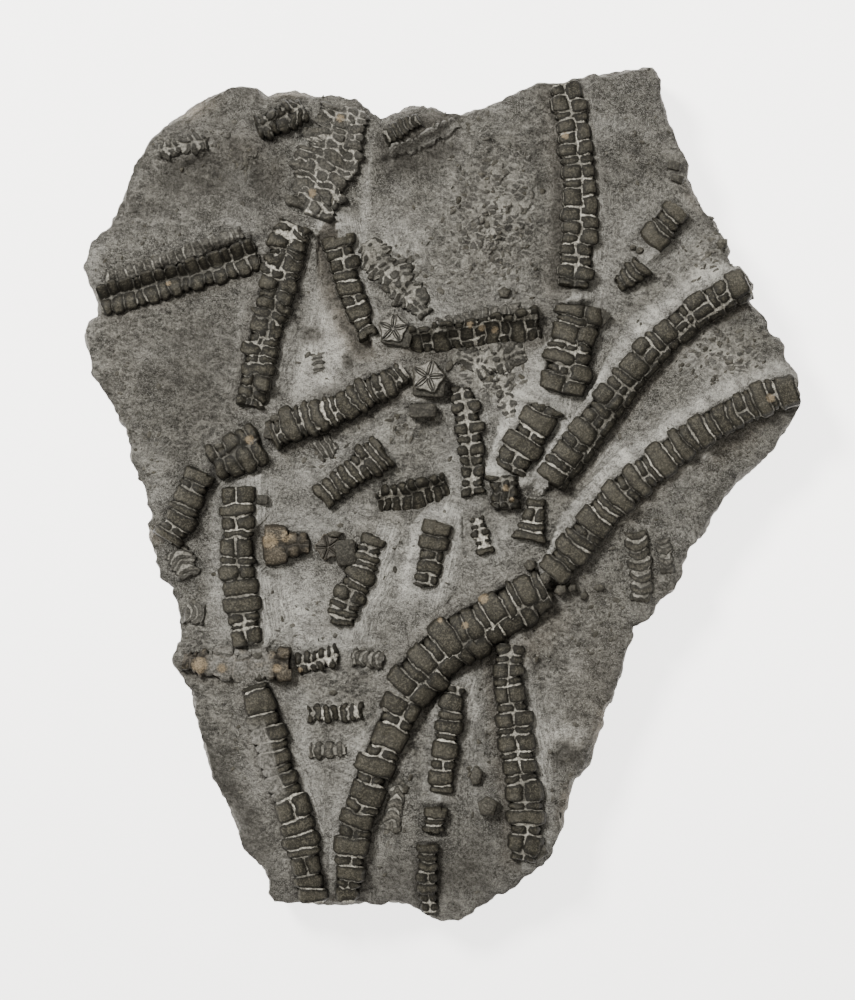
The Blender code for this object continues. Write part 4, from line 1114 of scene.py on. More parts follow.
# Banks of stone between the stems: (grid x, grid y, reach x, reach y, turn in degrees, height, pale).
BANKS = (
    (573, 297, 20, 7, 0, 0.0022, 0.5), (535, 400, 20, 7, 25, 0.0020, 0.3), (525, 480, 8, 8, 0, 0.0016, 0.2),
    (438, 801, 14, 6, 0, 0.0018, 0.5), (433, 840, 12, 4, 0, 0.0012, 0.2),
    (655, 253, 12, 6, -35, 0.0014, 0.2),
    (335, 222, 22, 9, 0, 0.0016, 0.7), (330, 212, 22, 8, 0, 0.0012, 0.1), (268, 440, 7, 8, 0, 0.0014, 0.1),
    (206, 470, 7, 8, 0, 0.0014, 0.1), (246, 668, 10, 20, 0, 0.0010, 0.0), (290, 661, 5, 12, 0, 0.0012, 0.0),
    (405, 700, 12, 6, 0, 0.0014, 0.0), (478, 507, 8, 5, 0, 0.0012, 0.3), (260, 470, 12, 10, 0, 0.0008, 0.2),
    (318, 545, 8, 12, 0, 0.0012, 0.0), (404, 352, 12, 8, 0, 0.0010, 0.2), (252, 682, 12, 8, 0, 0.0014, 0.0),
    (552, 292, 8, 14, 0, 0.0010, 0.2), (418, 400, 12, 5, 0, 0.0016, 0.4),
    (175, 235, 70, 22, -15, 0.0012, 0.0),
)


def sculpt_banks(gx, gy, tone):
    height = np.zeros(len(gx))
    for *patch, rise, pale in BANKS:
        share = patch_share(gx, gy, patch, PATCH_EDGE)
        height += rise * share
        tone[:, 0] += pale * share
    return height


def sculpt_ripples(gx, gy):
    height = np.zeros(len(gx))
    for x, y, radius, turn, arc in RIPPLES:
        dx, dy = gx - x, gy - y
        away = np.hypot(dx, dy)
        angle = (np.degrees(np.arctan2(-dy, dx)) - turn) % 360
        inside = ((angle < arc) | (arc >= 360)) & (away < radius * 1.6)
        ring = np.exp(-((away - radius) / 1.6) ** 2) * 0.00035
        ring -= np.exp(-((away - radius * 0.72) / 1.6) ** 2) * 0.00022
        ring += np.exp(-(away / (radius * 0.5)) ** 2) * 0.00020
        height += np.where(inside, ring, 0)
    return height


def make_slab(material, lie):
    """The broken limestone plate: a fine sheet sculpted on top, with broken sides below."""
    low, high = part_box("limestone_slab")
    width, length = high[0] - low[0], high[1] - low[1]
    columns, rows = int(width / SLAB_CELL), int(length / SLAB_CELL)
    slab = add_sheet("limestone_slab_dressed", columns, rows)
    points = coordinates(slab)
    points[:, 0] = points[:, 0] * width + (low[0] + high[0]) / 2
    points[:, 1] = points[:, 1] * length + (low[1] + high[1]) / 2
    move_points(slab, points)

    outline, rim = rim_loop()
    rim = resample(rim, SLAB_CELL)
    jag = rough_noise(rim[:, 0], rim[:, 1], 0.0046, 5, 2) * 0.00075
    jag += soft_noise(rim[:, 0], rim[:, 1], 0.0021, 8) * 0.00055 + soft_noise(rim[:, 0], rim[:, 1], 0.0011,
        9) * 0.00030
    away = np.roll(rim, -1, axis=0) - np.roll(rim, 1, axis=0)
    outward = np.stack([away[:, 1], -away[:, 0]], axis=1)
    outward /= np.linalg.norm(outward, axis=1)[:, None]
    rim = rim + outward * (jag[:, None] - 0.00012)
    outside = ~inside_loop(points[:, 0], points[:, 1], rim)
    bpy.ops.object.mode_set(mode="EDIT")
    bpy.ops.mesh.select_mode(type="VERT")
    bpy.ops.mesh.select_all(action="DESELECT")
    bpy.ops.object.mode_set(mode="OBJECT")
    slab.data.vertices.foreach_set("select", outside)
    bpy.ops.object.mode_set(mode="EDIT")
    bpy.ops.mesh.delete(type="VERT")
    bpy.ops.object.mode_set(mode="OBJECT")

    points = coordinates(slab)
    border = border_points(slab)
    edge = points[border]
    nearest = np.empty(len(edge), np.int64)
    for start in range(0, len(edge), 200):
        part = edge[start:start + 200]
        gap = np.hypot(part[:, None, 0] - rim[None, :, 0], part[:, None, 1] - rim[None, :, 1])
        nearest[start:start + 200] = gap.argmin(axis=1)
    points[border, :2] = rim[nearest]
    x, y = points[:, 0], points[:, 1]
    gx, gy = to_grid(x, y)

    stem, beyond, side, run, apart, inward = lie.nearest(x, y)
    tone = sculpt_tones(gx, gy)
    height = stone_height(x, y) + sculpt_ledges(gx, gy) + sculpt_ripples(gx, gy) + sculpt_banks(gx, gy,
        tone)
    for name, sides in TROUGHS.items():
        index = lie.order.index(name)
        for hand, reach, depth, pale, dark in sides:
            depth = depth - 0.0013 * pale - 0.0003
            here = (stem == index) & (np.sign(side) == -hand * -1)
            share = np.where(here, np.exp(-(np.clip(beyond, 0, None) / reach) ** 2.2), 0)
            height -= depth * share
            tone[:, 0] += pale * share
            # The trough's darkness is painted shade, laid as dark and as tan tone.
            tone[:, 1] += 0.60 * dark * share
            tone[:, 2] += 0.45 * dark * share
    smooth = np.clip(tone[:, 0], 0, 1)
    strewn = 0.38 * smoothstep(-0.15, 0.45, soft_noise(x, y, 0.012, 77)) * (1 - smooth)
    tone[:, 3] = np.maximum(sculpt_debris(gx, gy) * (1 - 0.5 * smooth), strewn)
    lumps = rough_noise(x, y, 0.0085, 11, 3)
    grit = rough_noise(x, y, 0.0026, 23, 3)
    crumbly = smoothstep(-0.2, 0.5, soft_noise(x, y, 0.019, 31)) * (1 - 0.8 * smooth)
    crumbly = np.maximum(crumbly, tone[:, 3])
    height += lumps * 0.00080 * (1 - 0.6 * smooth)
    height += grit * (0.00030 + 0.00062 * crumbly) * (1 - 0.6 * smooth)
    height += rough_noise(x, y, 0.0014, 27, 2) * (0.00012 + 0.00026 * crumbly) * (1 - 0.7 * smooth)
    # Darkens the low spots of the grit and lumps, painted shade in the hollows, and lightens their high
    # spots.
    tone[:, 1] += 0.55 * crumbly * smoothstep(0.10, 0.7, -grit) + 0.25 * smoothstep(0.2, 0.7, -lumps)
    tone[:, 0] += 0.30 * smoothstep(0.1, 0.6, lumps) + 0.2 * crumbly * smoothstep(0.2, 0.7, grit)
    # Beside each standing stem: a shallow groove and a thin line of painted contact shade.
    contact_groove_and_shade = np.exp(-(np.clip(beyond, 0, None) / 0.00050) ** 2) * ~lie.flush[stem]
    tone[:, 1] += 0.20 * contact_groove_and_shade
    height -= 0.0003 * contact_groove_and_shade
    height += 0.0008 * np.exp(-np.clip(beyond, 0, None) / 0.0030) * ~lie.flush[stem]

    rim_gap = np.full(len(x), np.inf)
    for start in range(0, len(rim), 64):
        part = rim[start:start + 64]
        gap = np.hypot(x[:, None] - part[None, :, 0], y[:, None] - part[None, :, 1]).min(axis=1)
        rim_gap = np.minimum(rim_gap, gap)
    # Near the rim the stone drops away and is darkened, painted shade on the falling edge.
    rim_drop_and_shade = np.exp(-(rim_gap / 0.0013) ** 1.5)
    height -= EDGE_DROP * rim_drop_and_shade * (0.8 + 0.5 * grit)
    tone[:, 1] += 0.42 * rim_drop_and_shade
    under = smoothstep(-0.0005, -0.0018, beyond) * smoothstep(0.0012, 0.0022, inward) * ~lie.flush[stem]
    height -= 0.0016 * under
    points[:, 2] = np.minimum(height, SLAB_TOP)
    move_points(slab, inside_box(points))
    brushed = np.clip(0.45 + tone[:, 0], 0, 1) * smoothstep(0.0, 0.0010, apart)
    brushed = brushed * np.exp(-(np.clip(beyond, 0, None) / 0.0055) ** 2) * ~lie.flush[stem]
    flow = np.stack([run + stem * 0.013, side, brushed, np.ones(len(x))], axis=1)
    paint_later = (tone, flow)

    lower_sides(slab, border, nearest, rim, outward, outline)
    total = len(slab.data.vertices)
    tone = np.vstack([tone, np.tile((0.05, 0.25, 0.12, 0.0), (total - len(tone), 1))])
    points = coordinates(slab)
    rims = sculpt_tones(*to_grid(points[:, 0], points[:, 1]))
    fresh = np.arange(total) >= len(paint_later[0])
    tone[fresh, 2] = np.maximum(tone[fresh, 2], rims[fresh, 2])
    side_flow = np.stack([points[:, 0], points[:, 1] + points[:, 2], np.zeros(total), np.ones(total)],
                         axis=1)
    side_flow[:len(flow)] = flow
    paint(slab, "tone", tone)
    paint(slab, "flow", side_flow)
    finish_piece(slab, material, ["limestone_slab"], smooth=60)
    return slab


# The broken sides, from the rim down: (height as a share, outward shift in metres).
SIDE_LEVELS = ((0.90, 0.0001), (0.78, 0.0004), (0.66, 0.0002), (0.55, 0.0005), (0.40, -0.0001),
               (0.24, -0.0004), (0.10, -0.0010), (0.0, -0.0020))


def lower_sides(slab, border, nearest, rim, outward, outline):
    """Extrudes the rim down the broken sides, ledge by ledge, and fills the flat underside."""
    points = coordinates(slab)
    top = points[border, 2].copy()
    base = outline_points_for(rim, outline)
    current = border
    for number, (share, shift) in enumerate(SIDE_LEVELS):
        bpy.ops.object.mode_set(mode="EDIT")
        bpy.ops.mesh.select_mode(type="EDGE")
        bpy.ops.mesh.select_all(action="DESELECT")
        bpy.ops.object.mode_set(mode="OBJECT")
        select_points(slab, current)
        keep_only_border_edges(slab)
        before = len(slab.data.vertices)
        ring_before = coordinates(slab)[current]
        bpy.ops.object.mode_set(mode="EDIT")
        bpy.ops.mesh.extrude_edges_move()
        bpy.ops.object.mode_set(mode="OBJECT")
        points = coordinates(slab)
        added = np.arange(len(points)) >= before
        match = match_points(points[added], ring_before)
        if number == 0:
            slots = nearest
            heights = top
        spot = slots[match]
        slots = spot
        heights = heights[match]
        wobble = rough_noise(base[spot, 0] + number * 0.0011, base[spot, 1], 0.0035, 61, 3) * 0.0007
        wobble += soft_noise(base[spot, 0], base[spot, 1] + number * 0.0007, 0.0011, 67) * 0.00022
        blend = min(1.0, (number + 1) / 3)
        place = rim[spot] * (1 - blend) + base[spot] * blend
        place = place + outward[spot] * (shift + wobble * (1.0 if share else 0.3))[:, None]
        points[added, 0], points[added, 1] = place[:, 0], place[:, 1]
        jitter = soft_noise(base[spot, 0], base[spot, 1], 0.004, 71 + number) * 0.0005
        points[added, 2] = heights * share + (jitter if share else 0)
        move_points(slab, inside_box(points))
        current = added
    bpy.ops.object.mode_set(mode="EDIT")
    bpy.ops.mesh.select_mode(type="EDGE")
    bpy.ops.mesh.select_all(action="DESELECT")
    bpy.ops.object.mode_set(mode="OBJECT")
    select_points(slab, current)
    keep_only_border_edges(slab)
    bpy.ops.object.mode_set(mode="EDIT")
    bpy.ops.mesh.edge_face_add()
    bpy.ops.object.mode_set(mode="OBJECT")


def keep_only_border_edges(piece):
    """Unselects every edge that already has two faces."""
    mesh = piece.data
    loops = np.empty(len(mesh.loops), np.int64)
    mesh.loops.foreach_get("edge_index", loops)
    uses = np.bincount(loops, minlength=len(mesh.edges))
    chosen = np.empty(len(mesh.edges), bool)
    mesh.edges.foreach_get("select", chosen)
    mesh.edges.foreach_set("select", chosen & (uses == 1))


def match_points(new, old):
    """The index of the old point that each new one was extruded from."""
    keys = {tuple(point): index for index, point in enumerate(np.round(old, 8))}
    return np.array([keys[tuple(point)] for point in np.round(new, 8)])


def outline_points_for(rim, outline):
    """For each rim point, the nearest place on the outline."""
    dense = resample(outline, SLAB_CELL)
    found = np.empty(len(rim), np.int64)
    for start in range(0, len(rim), 200):
        part = rim[start:start + 200]
        found[start:start + 200] = np.hypot(part[:, None, 0] - dense[None, :, 0],
                                            part[:, None, 1] - dense[None, :, 1]).argmin(axis=1)
    return dense[found]


# ---------------------------------------------------------------------------------------------
# Stems
# ---------------------------------------------------------------------------------------------
def suture_places(stem, length, seed, bars):
    """Distances of the sutures along a stem: by its own bars, or thick and thin by turns."""
    if bars:
        places = np.concatenate([[0], np.cumsum(bars)])
        return places * length / places[-1]
    draw = random.Random(seed)
    places = [0.0]
    while places[-1] < length:
        share = (1.0 if len(places) % 2 else stem["thin"]) * draw.uniform(0.84, 1.18)
        places.append(places[-1] + stem["pitch"] * share)
    if length - places[-2] < stem["pitch"] * 0.35:
        places.pop()
    places[-1] = length
    return np.array(places)


def locate(along, sutures):
    """Which bar each distance lies in, how near its suture is, the bar's thickness and the suture."""
    bar = (np.searchsorted(sutures, along, side="right") - 1).clip(0, len(sutures) - 2)
    before, after = along - sutures[bar], sutures[bar + 1] - along
    return bar, np.minimum(before, after), sutures[bar + 1] - sutures[bar], bar + (after < before)


def joined(a, b, power):
    """One distance from two, that bulges where both are small."""
    return (np.maximum(a, 1e-6) ** -power + np.maximum(b, 1e-6) ** -power) ** (-1 / power)


def lengthened(stem):
    """The stem's route, carried on at its ends where it runs under its neighbour."""
    route = list(stem["route"])
    before, after = stem.get("extend", (0, 0))
    for place, inner, reach in ((0, 1, before), (-1, -2, after)):
        if reach:
            x, y, wide = route[place]
            dx, dy = x - route[inner][0], y - route[inner][1]
            share = reach / math.hypot(dx, dy)
            spot = (x + dx * share, y + dy * share, wide)
            route.insert(0, spot) if place == 0 else route.append(spot)
    return route


def make_stem(name, stem, number, material, slab_height):
    """A stem as a sheet laid along its route, with each columnal's blocks sculpted on it."""
    middle, direction, width, distance = smooth_curve(lengthened(stem), STEM_CELL)
    length = distance[-1]
    count = len(distance)
    sheet = add_sheet(name + "_dressed", count - 1, STEM_SIDES - 1)
    points = coordinates(sheet)
    ring = np.rint((points[:, 0] + 0.5) * (count - 1)).astype(np.int64)
    v = np.sin((points[:, 1] * 2).clip(-1, 1) * math.pi / 2)
    s = distance[ring]
    half = width[ring] / 2
    rubble = stem.get("rubble", 0.0)
    seed = number * 7 + 3
    across = v * half
    side = stem.get("rim", 0)

    warp = soft_noise(s, across, 0.0026, seed) * (0.00030 + 0.00060 * rubble)
    warp += soft_noise(s, across, 0.0010, seed + 1) * (0.00013 + 0.00022 * rubble)
    along = (s + warp + stem.get("chevron", 0.0) * (0.5 - v ** 2)).clip(0, length)
    bar, near, size, joint_number = locate(along, suture_places(stem, length, seed, stem.get("bars")))
    typical = length / len(stem["bars"]) if "bars" in stem else stem["pitch"] * 0.8
    row = np.zeros(len(v), np.int64)
    near_row = np.full(len(v), 1.0)
    dip = 0.0
    for index, (first, last, thick_share, thin_share) in enumerate(stem.get("rows", ())):
        furrow = first + (last - first) * s / length
        swing = (lattice(bar, bar * 0 + index, seed + 30) - 0.5) * 0.22 + soft_noise(s, s * 0, 0.0015,
            seed + 2) * 0.07
        gap = (v - furrow - swing) * half
        if index == 0 and "bars_b" in stem:
            other = locate(along, suture_places(stem, length, seed, stem["bars_b"]))
            beyond = gap > 0
            bar = np.where(beyond, other[0] + 100, bar)
            near = np.where(beyond, other[1], near)
            size = np.where(beyond, other[2], size)
            joint_number = np.where(beyond, other[3] + 100, joint_number)
        split = lattice(bar, bar * 0 + index, seed + 40) < np.where(size > typical, thick_share, thin_share)
        row += (split & (gap > 0)) * (index + 1)
        near_row = np.where(split, np.minimum(near_row, np.abs(gap)), near_row)
        dip = dip + 0.00026 * np.exp(-(gap / 0.0007) ** 2) * split
    near_rim = np.abs(v * (side or 1) - 0.93) * half + 0.00006 if side else np.full(len(v), 1.0)
    open_start, open_end = stem.get("open", (False, False))
    near_end = np.minimum(s + 0.01 * open_start, length - s + 0.01 * open_end)
    near_end = near_end - 0.0007 * lattice(np.floor(v * 1.7 + 0.3).astype(np.int64), row * 0 + 2, seed + 60)

    joint = joined(near, near_row, 1.5)
    strength = lattice(joint_number, joint_number * 0 + 1, seed + 50)
    ragged = 0.8 * soft_noise(s, across, 0.0017, seed + 4) + 0.7 * soft_noise(s, across, 0.0007, seed + 16)
    gap_width = stem.get("gap", 0.00010) * (0.35 + 1.1 * strength + ragged).clip(0.10, 3)
    knot = np.exp(-(near ** 2 + near_row ** 2) / 0.00040 ** 2) * (lattice(joint_number,
        joint_number * 0 + 4, seed + 55) > 0.45)
    gap_width = gap_width + 0.00032 * knot * (1 - 0.6 * min(rubble, 1))
    share = ((joint - gap_width) / 0.00016).clip(0, 1)
    dome = np.sqrt(1 - (1 - share) ** 2)

    identity = lattice(bar, row + 3, seed)
    second = lattice(bar, row + 9, seed + 5)
    start, stop, worn_side = stem.get("worn", (2.0, 3.0, 0))
    worn = smoothstep(start - 0.05, start + 0.05, s / length) * smoothstep(stop + 0.05, stop - 0.05,
        s / length)
    if abs(worn_side) == 1:
        worn = worn * smoothstep(-0.12, 0.12, v * worn_side + 0.12 * soft_noise(s, across, 0.002,
            seed + 20))
    elif worn_side:
        worn = worn * worn_side
    lift = (identity - 0.5) * (0.00040 + 0.0010 * rubble) + np.where(size > typical, 0.00013, -0.00016)
    tilt = (second - 0.5) * (0.12 + 0.45 * rubble) * (near - size / 4)
    tilt += (identity - second) * (0.05 + 0.25 * rubble) * across
    profile = np.array(PROFILES[stem.get("profile", "round")])
    body = np.interp(v, profile[:, 0], profile[:, 1])
    swell = (0.34 + 0.16 * rubble) * stem.get("even", 1.0) * np.where(np.sign(v) == side, 0.4, 1.0)
    stretch = 1 + (lattice(bar, np.sign(v).astype(np.int64) + 5, seed + 6) - 0.5) * swell
    stretch += np.where(size > typical, 0.02, -0.08) + 0.04 * soft_noise(s, v * 0, 0.0009, seed + 21)
    notch = 0.00085 * np.exp(-(near / 0.00036) ** 2)
    reach = across * stretch - np.sign(v) * notch * np.abs(v) ** 3
    x = middle[ring, 0] - direction[ring, 1] * reach
    y = middle[ring, 1] + direction[ring, 0] * reach

    ground = stone_height(middle[ring, 0], middle[ring, 1])
    rise = STEM_RISE * stem.get("rise", 1.0) * np.minimum(1.0, half * 2 / FULL_WIDTH) ** 0.7
    rise = rise * (1 - 0.30 * worn)
    skirt = 0.0012
    depth = 0.00032 - 0.00012 * worn
    pits = rough_noise(x, y, 0.0011, seed + 6, 3)
    pitted = smoothstep(0.15, 0.7, pits) * (0.00006 + 0.00040 * rubble + 0.0003 * worn)
    grain = rough_noise(x, y, 0.0015, seed + 25, 3) * 0.00012
    relief = depth * (dome - 1) + grain + (lift + tilt) * dome * (1 - 0.5 * worn) - pitted - dip
    fill = -depth * (0.55 + 0.25 * soft_noise(s, across, 0.0012, seed + 8)) - dip * 0.7
    relief = np.maximum(relief, fill)
    flush = stem.get("flush", False)
    if flush:
        found = [slab_height(float(a), float(b)) for a, b in zip(x, y)]
        ground = np.array([MATRIX_LEVEL - 0.002 if level is None else level for level in found])
        ragged = 0.30 * rough_noise(x, y, 0.0034, seed + 70, 2)
        body = (body * (1 + ragged) - 0.16 * np.abs(ragged) * np.abs(v)).clip(0, 1)
        skirt = 0.0004
        relief = relief * (0.35 + 0.4 * stem["rise"])
    z = ground - skirt + (rise + skirt) * body + relief * (0.30 + 0.70 * body)
    end_share = smoothstep(0.0, 0.00075, near_end + 0.0002 * soft_noise(across, s * 0, 0.002, seed + 9))
    z = ground - skirt * 1.2 + (z - ground + skirt * 1.2) * (0.12 + 0.88 * end_share)
    move_points(sheet, inside_box(np.stack([x, y, np.minimum(z, SLAB_TOP)], axis=1)))

    patchy = (0.82 + 1.0 * rough_noise(x, y, 0.0062, seed + 10, 2)).clip(0.22, 1.0)
    pale = stem.get("pale", 0.6) * patchy * (0.45 + 0.65 * strength) * smoothstep(0.0002, 0.0008, near_end)
    pale = np.maximum(pale, smoothstep(0.3, 0.1, near_rim / 0.001) * 0.9)
    gx, gy = to_grid(x, y)
    rust = np.zeros(len(x))
    for spot_x, spot_y, radius in SPOTS:
        rust = np.maximum(rust, np.exp(-(np.hypot(gx - spot_x, gy - spot_y) / radius) ** 2))
    rust = np.maximum(rust, smoothstep(0.45, 0.8, soft_noise(x, y, 0.0030, seed + 14)) * stem.get("brown",
        0.0) * 0.7)
    # The blocks' dark rim colour also runs along the stem's outer edges: partly dark edges of the calcite,
    # partly painted contact shade.
    border = (1 - np.abs(v)) * half * 0.9 + 0.00012
    pale = pale * smoothstep(0.00016, 0.00050, np.where(side, np.maximum(border, 0.0005), border))
    nearest = np.minimum(np.minimum(np.maximum(joint - gap_width * 0.8, 0), near_rim), border) * 1000
    tone = 0.05 + 0.95 * identity
    paint(sheet, "make", np.stack([nearest.clip(0, 2), tone, pale, rust], axis=1))
    # Painted shade: the stem's edge on the side turned from the lamp is darkened.
    shaded = -direction[ring, 1] * np.sign(v) * 0.75 - direction[ring, 0] * np.sign(v) * 0.6
    painted_flank_shade = smoothstep(0.80, 0.98, np.abs(v)) * smoothstep(-0.1, 0.7, shaded)
    paint(sheet, "wear_and_shade", np.stack([worn, painted_flank_shade, np.zeros(len(v)), np.ones(len(v))], axis=1))
    close_below(sheet, STEM_FOOT)
    finish_piece(sheet, material, [name] if name in STEMS else [], smooth=55)
    return sheet


def make_ossicle(name, ossicle, material, number):
    """A loose star-sided ossicle: five petals, each with a ribbed furrow, on its upper face."""
    radius = ossicle["radius"] * GRID
    cx, cy = to_metres(ossicle["x"], ossicle["y"])
    cells = int(radius * 2.3 / 0.00016)
    sheet = add_sheet(name + "_dressed", cells, cells)
    points = coordinates(sheet)
    flat = points[:, :2] * radius * 2.2
    # Squares the sheet into a disc, so that its border is round.
    reach = np.maximum(np.abs(flat[:, 0]), np.abs(flat[:, 1]))
    angle = np.arctan2(flat[:, 1], flat[:, 0])
    turn = ossicle["turn"]
    lobe = np.cos(5 * (angle - turn))
    border = radius * (0.90 + 0.10 * lobe)
    out = reach / (radius * 1.1)
    x = cx + np.cos(angle) * out * border
    y = cy + np.sin(angle) * out * border
    fold = np.abs(((angle - turn + math.pi / 5) % (2 * math.pi / 5)) - math.pi / 5)
    petal = fold * out * 1.2
    furrow = np.exp(-(petal / 0.055) ** 2)
    ribs = np.exp(-((petal - 0.13) / 0.06) ** 2) * smoothstep(0.12, 0.3,
        out) * (1 - smoothstep(0.86, 0.97, out))
    teeth = 0.5 + 0.5 * np.cos(out * 46)
    between = np.exp(-((petal - 0.30) / 0.10) ** 2) * smoothstep(0.3, 0.5, out)
    ground = stone_height(np.array([cx]), np.array([cy]))[0]
    top = min(ground + ossicle["rise"], SLAB_TOP - 0.0002)
    z = top + 0.00020 * ribs * (0.6 + 0.4 * teeth) - 0.00022 * furrow - 0.00012 * between
    z -= 0.00030 * np.exp(-(out / 0.12) ** 2) * 0.6
    edge = smoothstep(0.93, 1.0, out)
    z = z - edge * (top - ground + 0.0006)
    z += rough_noise(x, y, 0.0006, 41 + number, 2) * 0.00003
    move_points(sheet, inside_box(np.stack([x, y, np.minimum(z, SLAB_TOP)], axis=1)))
    outline = 0.20 * np.sin(math.pi * np.clip(out / 0.92, 0, 1)) ** 0.8
    line = np.minimum(np.abs(petal - outline), petal + 0.01) * radius * 1000
    drawn = np.exp(-(line / 0.15) ** 2) * smoothstep(0.06, 0.14, out) * (1 - smoothstep(0.82, 0.90, out))
    # Darker in the petals' furrows, painted shade.
    tone = 0.9 - 0.3 * furrow
    pale = np.full(len(x), 0.15 if number == 2 else 0.45) * (1 - edge)
    distance = np.maximum(0.35 * drawn, smoothstep(0.84, 0.92, out))
    paint(sheet, "make", np.stack([distance, tone, pale, np.zeros(len(x))], axis=1))
    face = (1 - smoothstep(0.86, 0.95, out)) * (0.3 if number == 2 else 0.75)
    # The second channel darkens the ossicle's sloping rim, painted shade.
    paint(sheet, "wear_and_shade", np.stack([face * (1 - drawn), edge, np.zeros(len(x)), np.ones(len(x))], axis=1))
    close_below(sheet, STEM_FOOT)
    finish_piece(sheet, material, [name], smooth=50)
    return sheet


# ---------------------------------------------------------------------------------------------
# Crumbs: small plates and grains of broken crinoid strewn over the stone
# ---------------------------------------------------------------------------------------------
# Where they lie: (grid x, grid y, reach x, reach y, how many, mean length in grid units).
CRUMB_FIELDS = (
    (485, 210, 50, 75, 190, 8), (500, 365, 34, 24, 70, 12), (398, 275, 24, 26, 60, 11),
    (705, 250, 26, 34, 60, 8), (720, 355, 50, 30, 90, 8), (405, 425, 20, 14, 30, 9),
    (340, 300, 14, 60, 12, 8), (150, 240, 50, 40, 60, 6), (140, 450, 20, 60, 40, 7),
    (600, 620, 40, 50, 50, 7), (580, 790, 30, 50, 40, 7), (480, 740, 22, 80, 40, 8),
    (390, 800, 24, 60, 40, 8), (300, 640, 50, 40, 40, 8), (640, 150, 40, 60, 60, 6),
    (210, 150, 50, 30, 60, 7), (424, 130, 34, 13, 90, 7), (182, 142, 34, 10, 60, 7),
    (245, 160, 22, 26, 50, 8),
    (285, 118, 26, 16, 40, 7), (120, 400, 12, 60, 40, 6), (490, 255, 44, 44, 90, 7),
    (690, 350, 60, 30, 70, 7), (330, 450, 40, 20, 30, 9), (300, 330, 30, 50, 16, 9),
    (460, 440, 20, 60, 30, 8), (560, 640, 60, 30, 30, 7), (420, 560, 40, 40, 30, 7),
    (230, 760, 20, 80, 40, 7), (640, 420, 40, 30, 30, 7), (730, 440, 30, 20, 24, 7),
    (630, 560, 30, 30, 20, 8), (350, 560, 14, 30, 10, 8), (200, 600, 16, 30, 14, 8),
)

# Single plates: (grid x, grid y, length, width, turn in degrees, rise in metres).
PLATES = (
    (260, 397, 15, 12, 30, 0.0016), (218, 447, 13, 11, 20, 0.0016), (232, 438, 12, 10, 40, 0.0014),
    (245, 430, 12, 10, 40, 0.0014), (275, 418, 13, 10, 10, 0.0016), (333, 603, 14, 10, 60, 0.0014),
    (722, 243, 15, 14, 20, 0.0020), (333, 693, 12, 7, 0, 0.0010), (334, 534, 20, 8, 0, 0.0040),
    (476, 778, 24, 16, 80, 0.0022), (487, 806, 25, 25, 0, 0.0030), (405, 790, 14, 9, 70, 0.0010),
    (398, 830, 14, 9, 60, 0.0010), (504, 292, 16, 15, 0, 0.0010), (560, 470, 10, 8, 0, 0.0014),
    (745, 292, 15, 24, 60, 0.0022), (600, 588, 14, 9, 0, 0.0012), (640, 250, 10, 8, 30, 0.0012),
    (633, 247, 9, 8, 0, 0.0012), (450, 365, 16, 9, 60, 0.0014), (530, 566, 15, 13, 20, 0.0050),
    (545, 578, 18, 14, 50, 0.0058), (560, 590, 16, 13, 30, 0.0052), (548, 598, 15, 12, 70, 0.0046),
    (572, 588, 12, 10, 20, 0.0036), (584, 596, 12, 9, 60, 0.0022),
)

# Square blocks and single columnals: (grid x, grid y, length, width, turn in degrees, rise in metres).
BLOCKS = (
    (423, 411, 27, 14, 2, 0.0052), (429, 386, 32, 22, -4, 0.0052), (397, 336, 30, 20, -12, 0.0040),
    (675, 165, 13, 9, -15, 0.0016),
    (678, 178, 13, 8, -15, 0.0016), (541, 852, 13, 12, 30, 0.0018), (346, 553, 20, 26, 5, 0.0042),
    (602, 318, 13, 16, -40, 0.0034), (270, 432, 12, 14, -10, 0.0030), (262, 500, 12, 10, 0, 0.0014),
    (252, 667, 22, 30, 0, 0.0040), (270, 663, 18, 26, 0, 0.0046), (245, 401, 14, 12, 0, 0.0024),
    (262, 398, 16, 14, 0, 0.0028),
)

def model_plates():
    """Small flakes with five to eight corners: a filled ring drawn up, narrowed and crowned."""
    draw = random.Random(3)
    patterns = []
    for corners in (5, 6, 7, 8, 6):
        deselect_all()
        bpy.ops.mesh.primitive_circle_add(vertices=corners, radius=0.5, fill_type="NGON",
                                          location=(0, 0, -0.5))
        flake = bpy.context.object
        bpy.ops.object.mode_set(mode="EDIT")
        bpy.ops.mesh.select_all(action="SELECT")
        bpy.ops.mesh.extrude_region_move(TRANSFORM_OT_translate={"value": (0, 0, 0.72)})
        bpy.ops.mesh.inset(thickness=0.09, depth=0.20)
        bpy.ops.mesh.inset(thickness=0.12, depth=0.08)
        bpy.ops.object.mode_set(mode="OBJECT")
        bpy.ops.object.transform_apply(location=True, rotation=False, scale=False)
        shape = coordinates(flake)
        for angle in (draw.uniform(0, 6.28), draw.uniform(0, 6.28), draw.uniform(0, 6.28)):
            away = shape[:, 0] * math.cos(angle) + shape[:, 1] * math.sin(angle)
            shape[:, :2] *= (1 - 0.45 * np.clip(away - 0.15, 0, None))[:, None]
        move_points(flake, shape)
        patterns.append(flake)
    return patterns


def model_blocks():
    """Square blocks with narrow chamfers: a cube bevelled twice, its faces a little uneven."""
    draw = random.Random(5)
    patterns = []
    for chamfer in (0.10, 0.16):
        deselect_all()
        bpy.ops.mesh.primitive_cube_add(size=1.0, location=(0, 0, 0))
        block = bpy.context.object
        bpy.ops.object.mode_set(mode="EDIT")
        bpy.ops.mesh.select_all(action="SELECT")
        bpy.ops.mesh.bevel(offset=chamfer, segments=2, affect="EDGES")
        bpy.ops.object.mode_set(mode="OBJECT")
        shape = coordinates(block)
        shape[:, :2] *= (1 + 0.12 * (shape[:, 2:] + draw.uniform(-0.2, 0.2)) * shape[:, 1:2])
        move_points(block, shape)
        patterns.append(block)
    return patterns


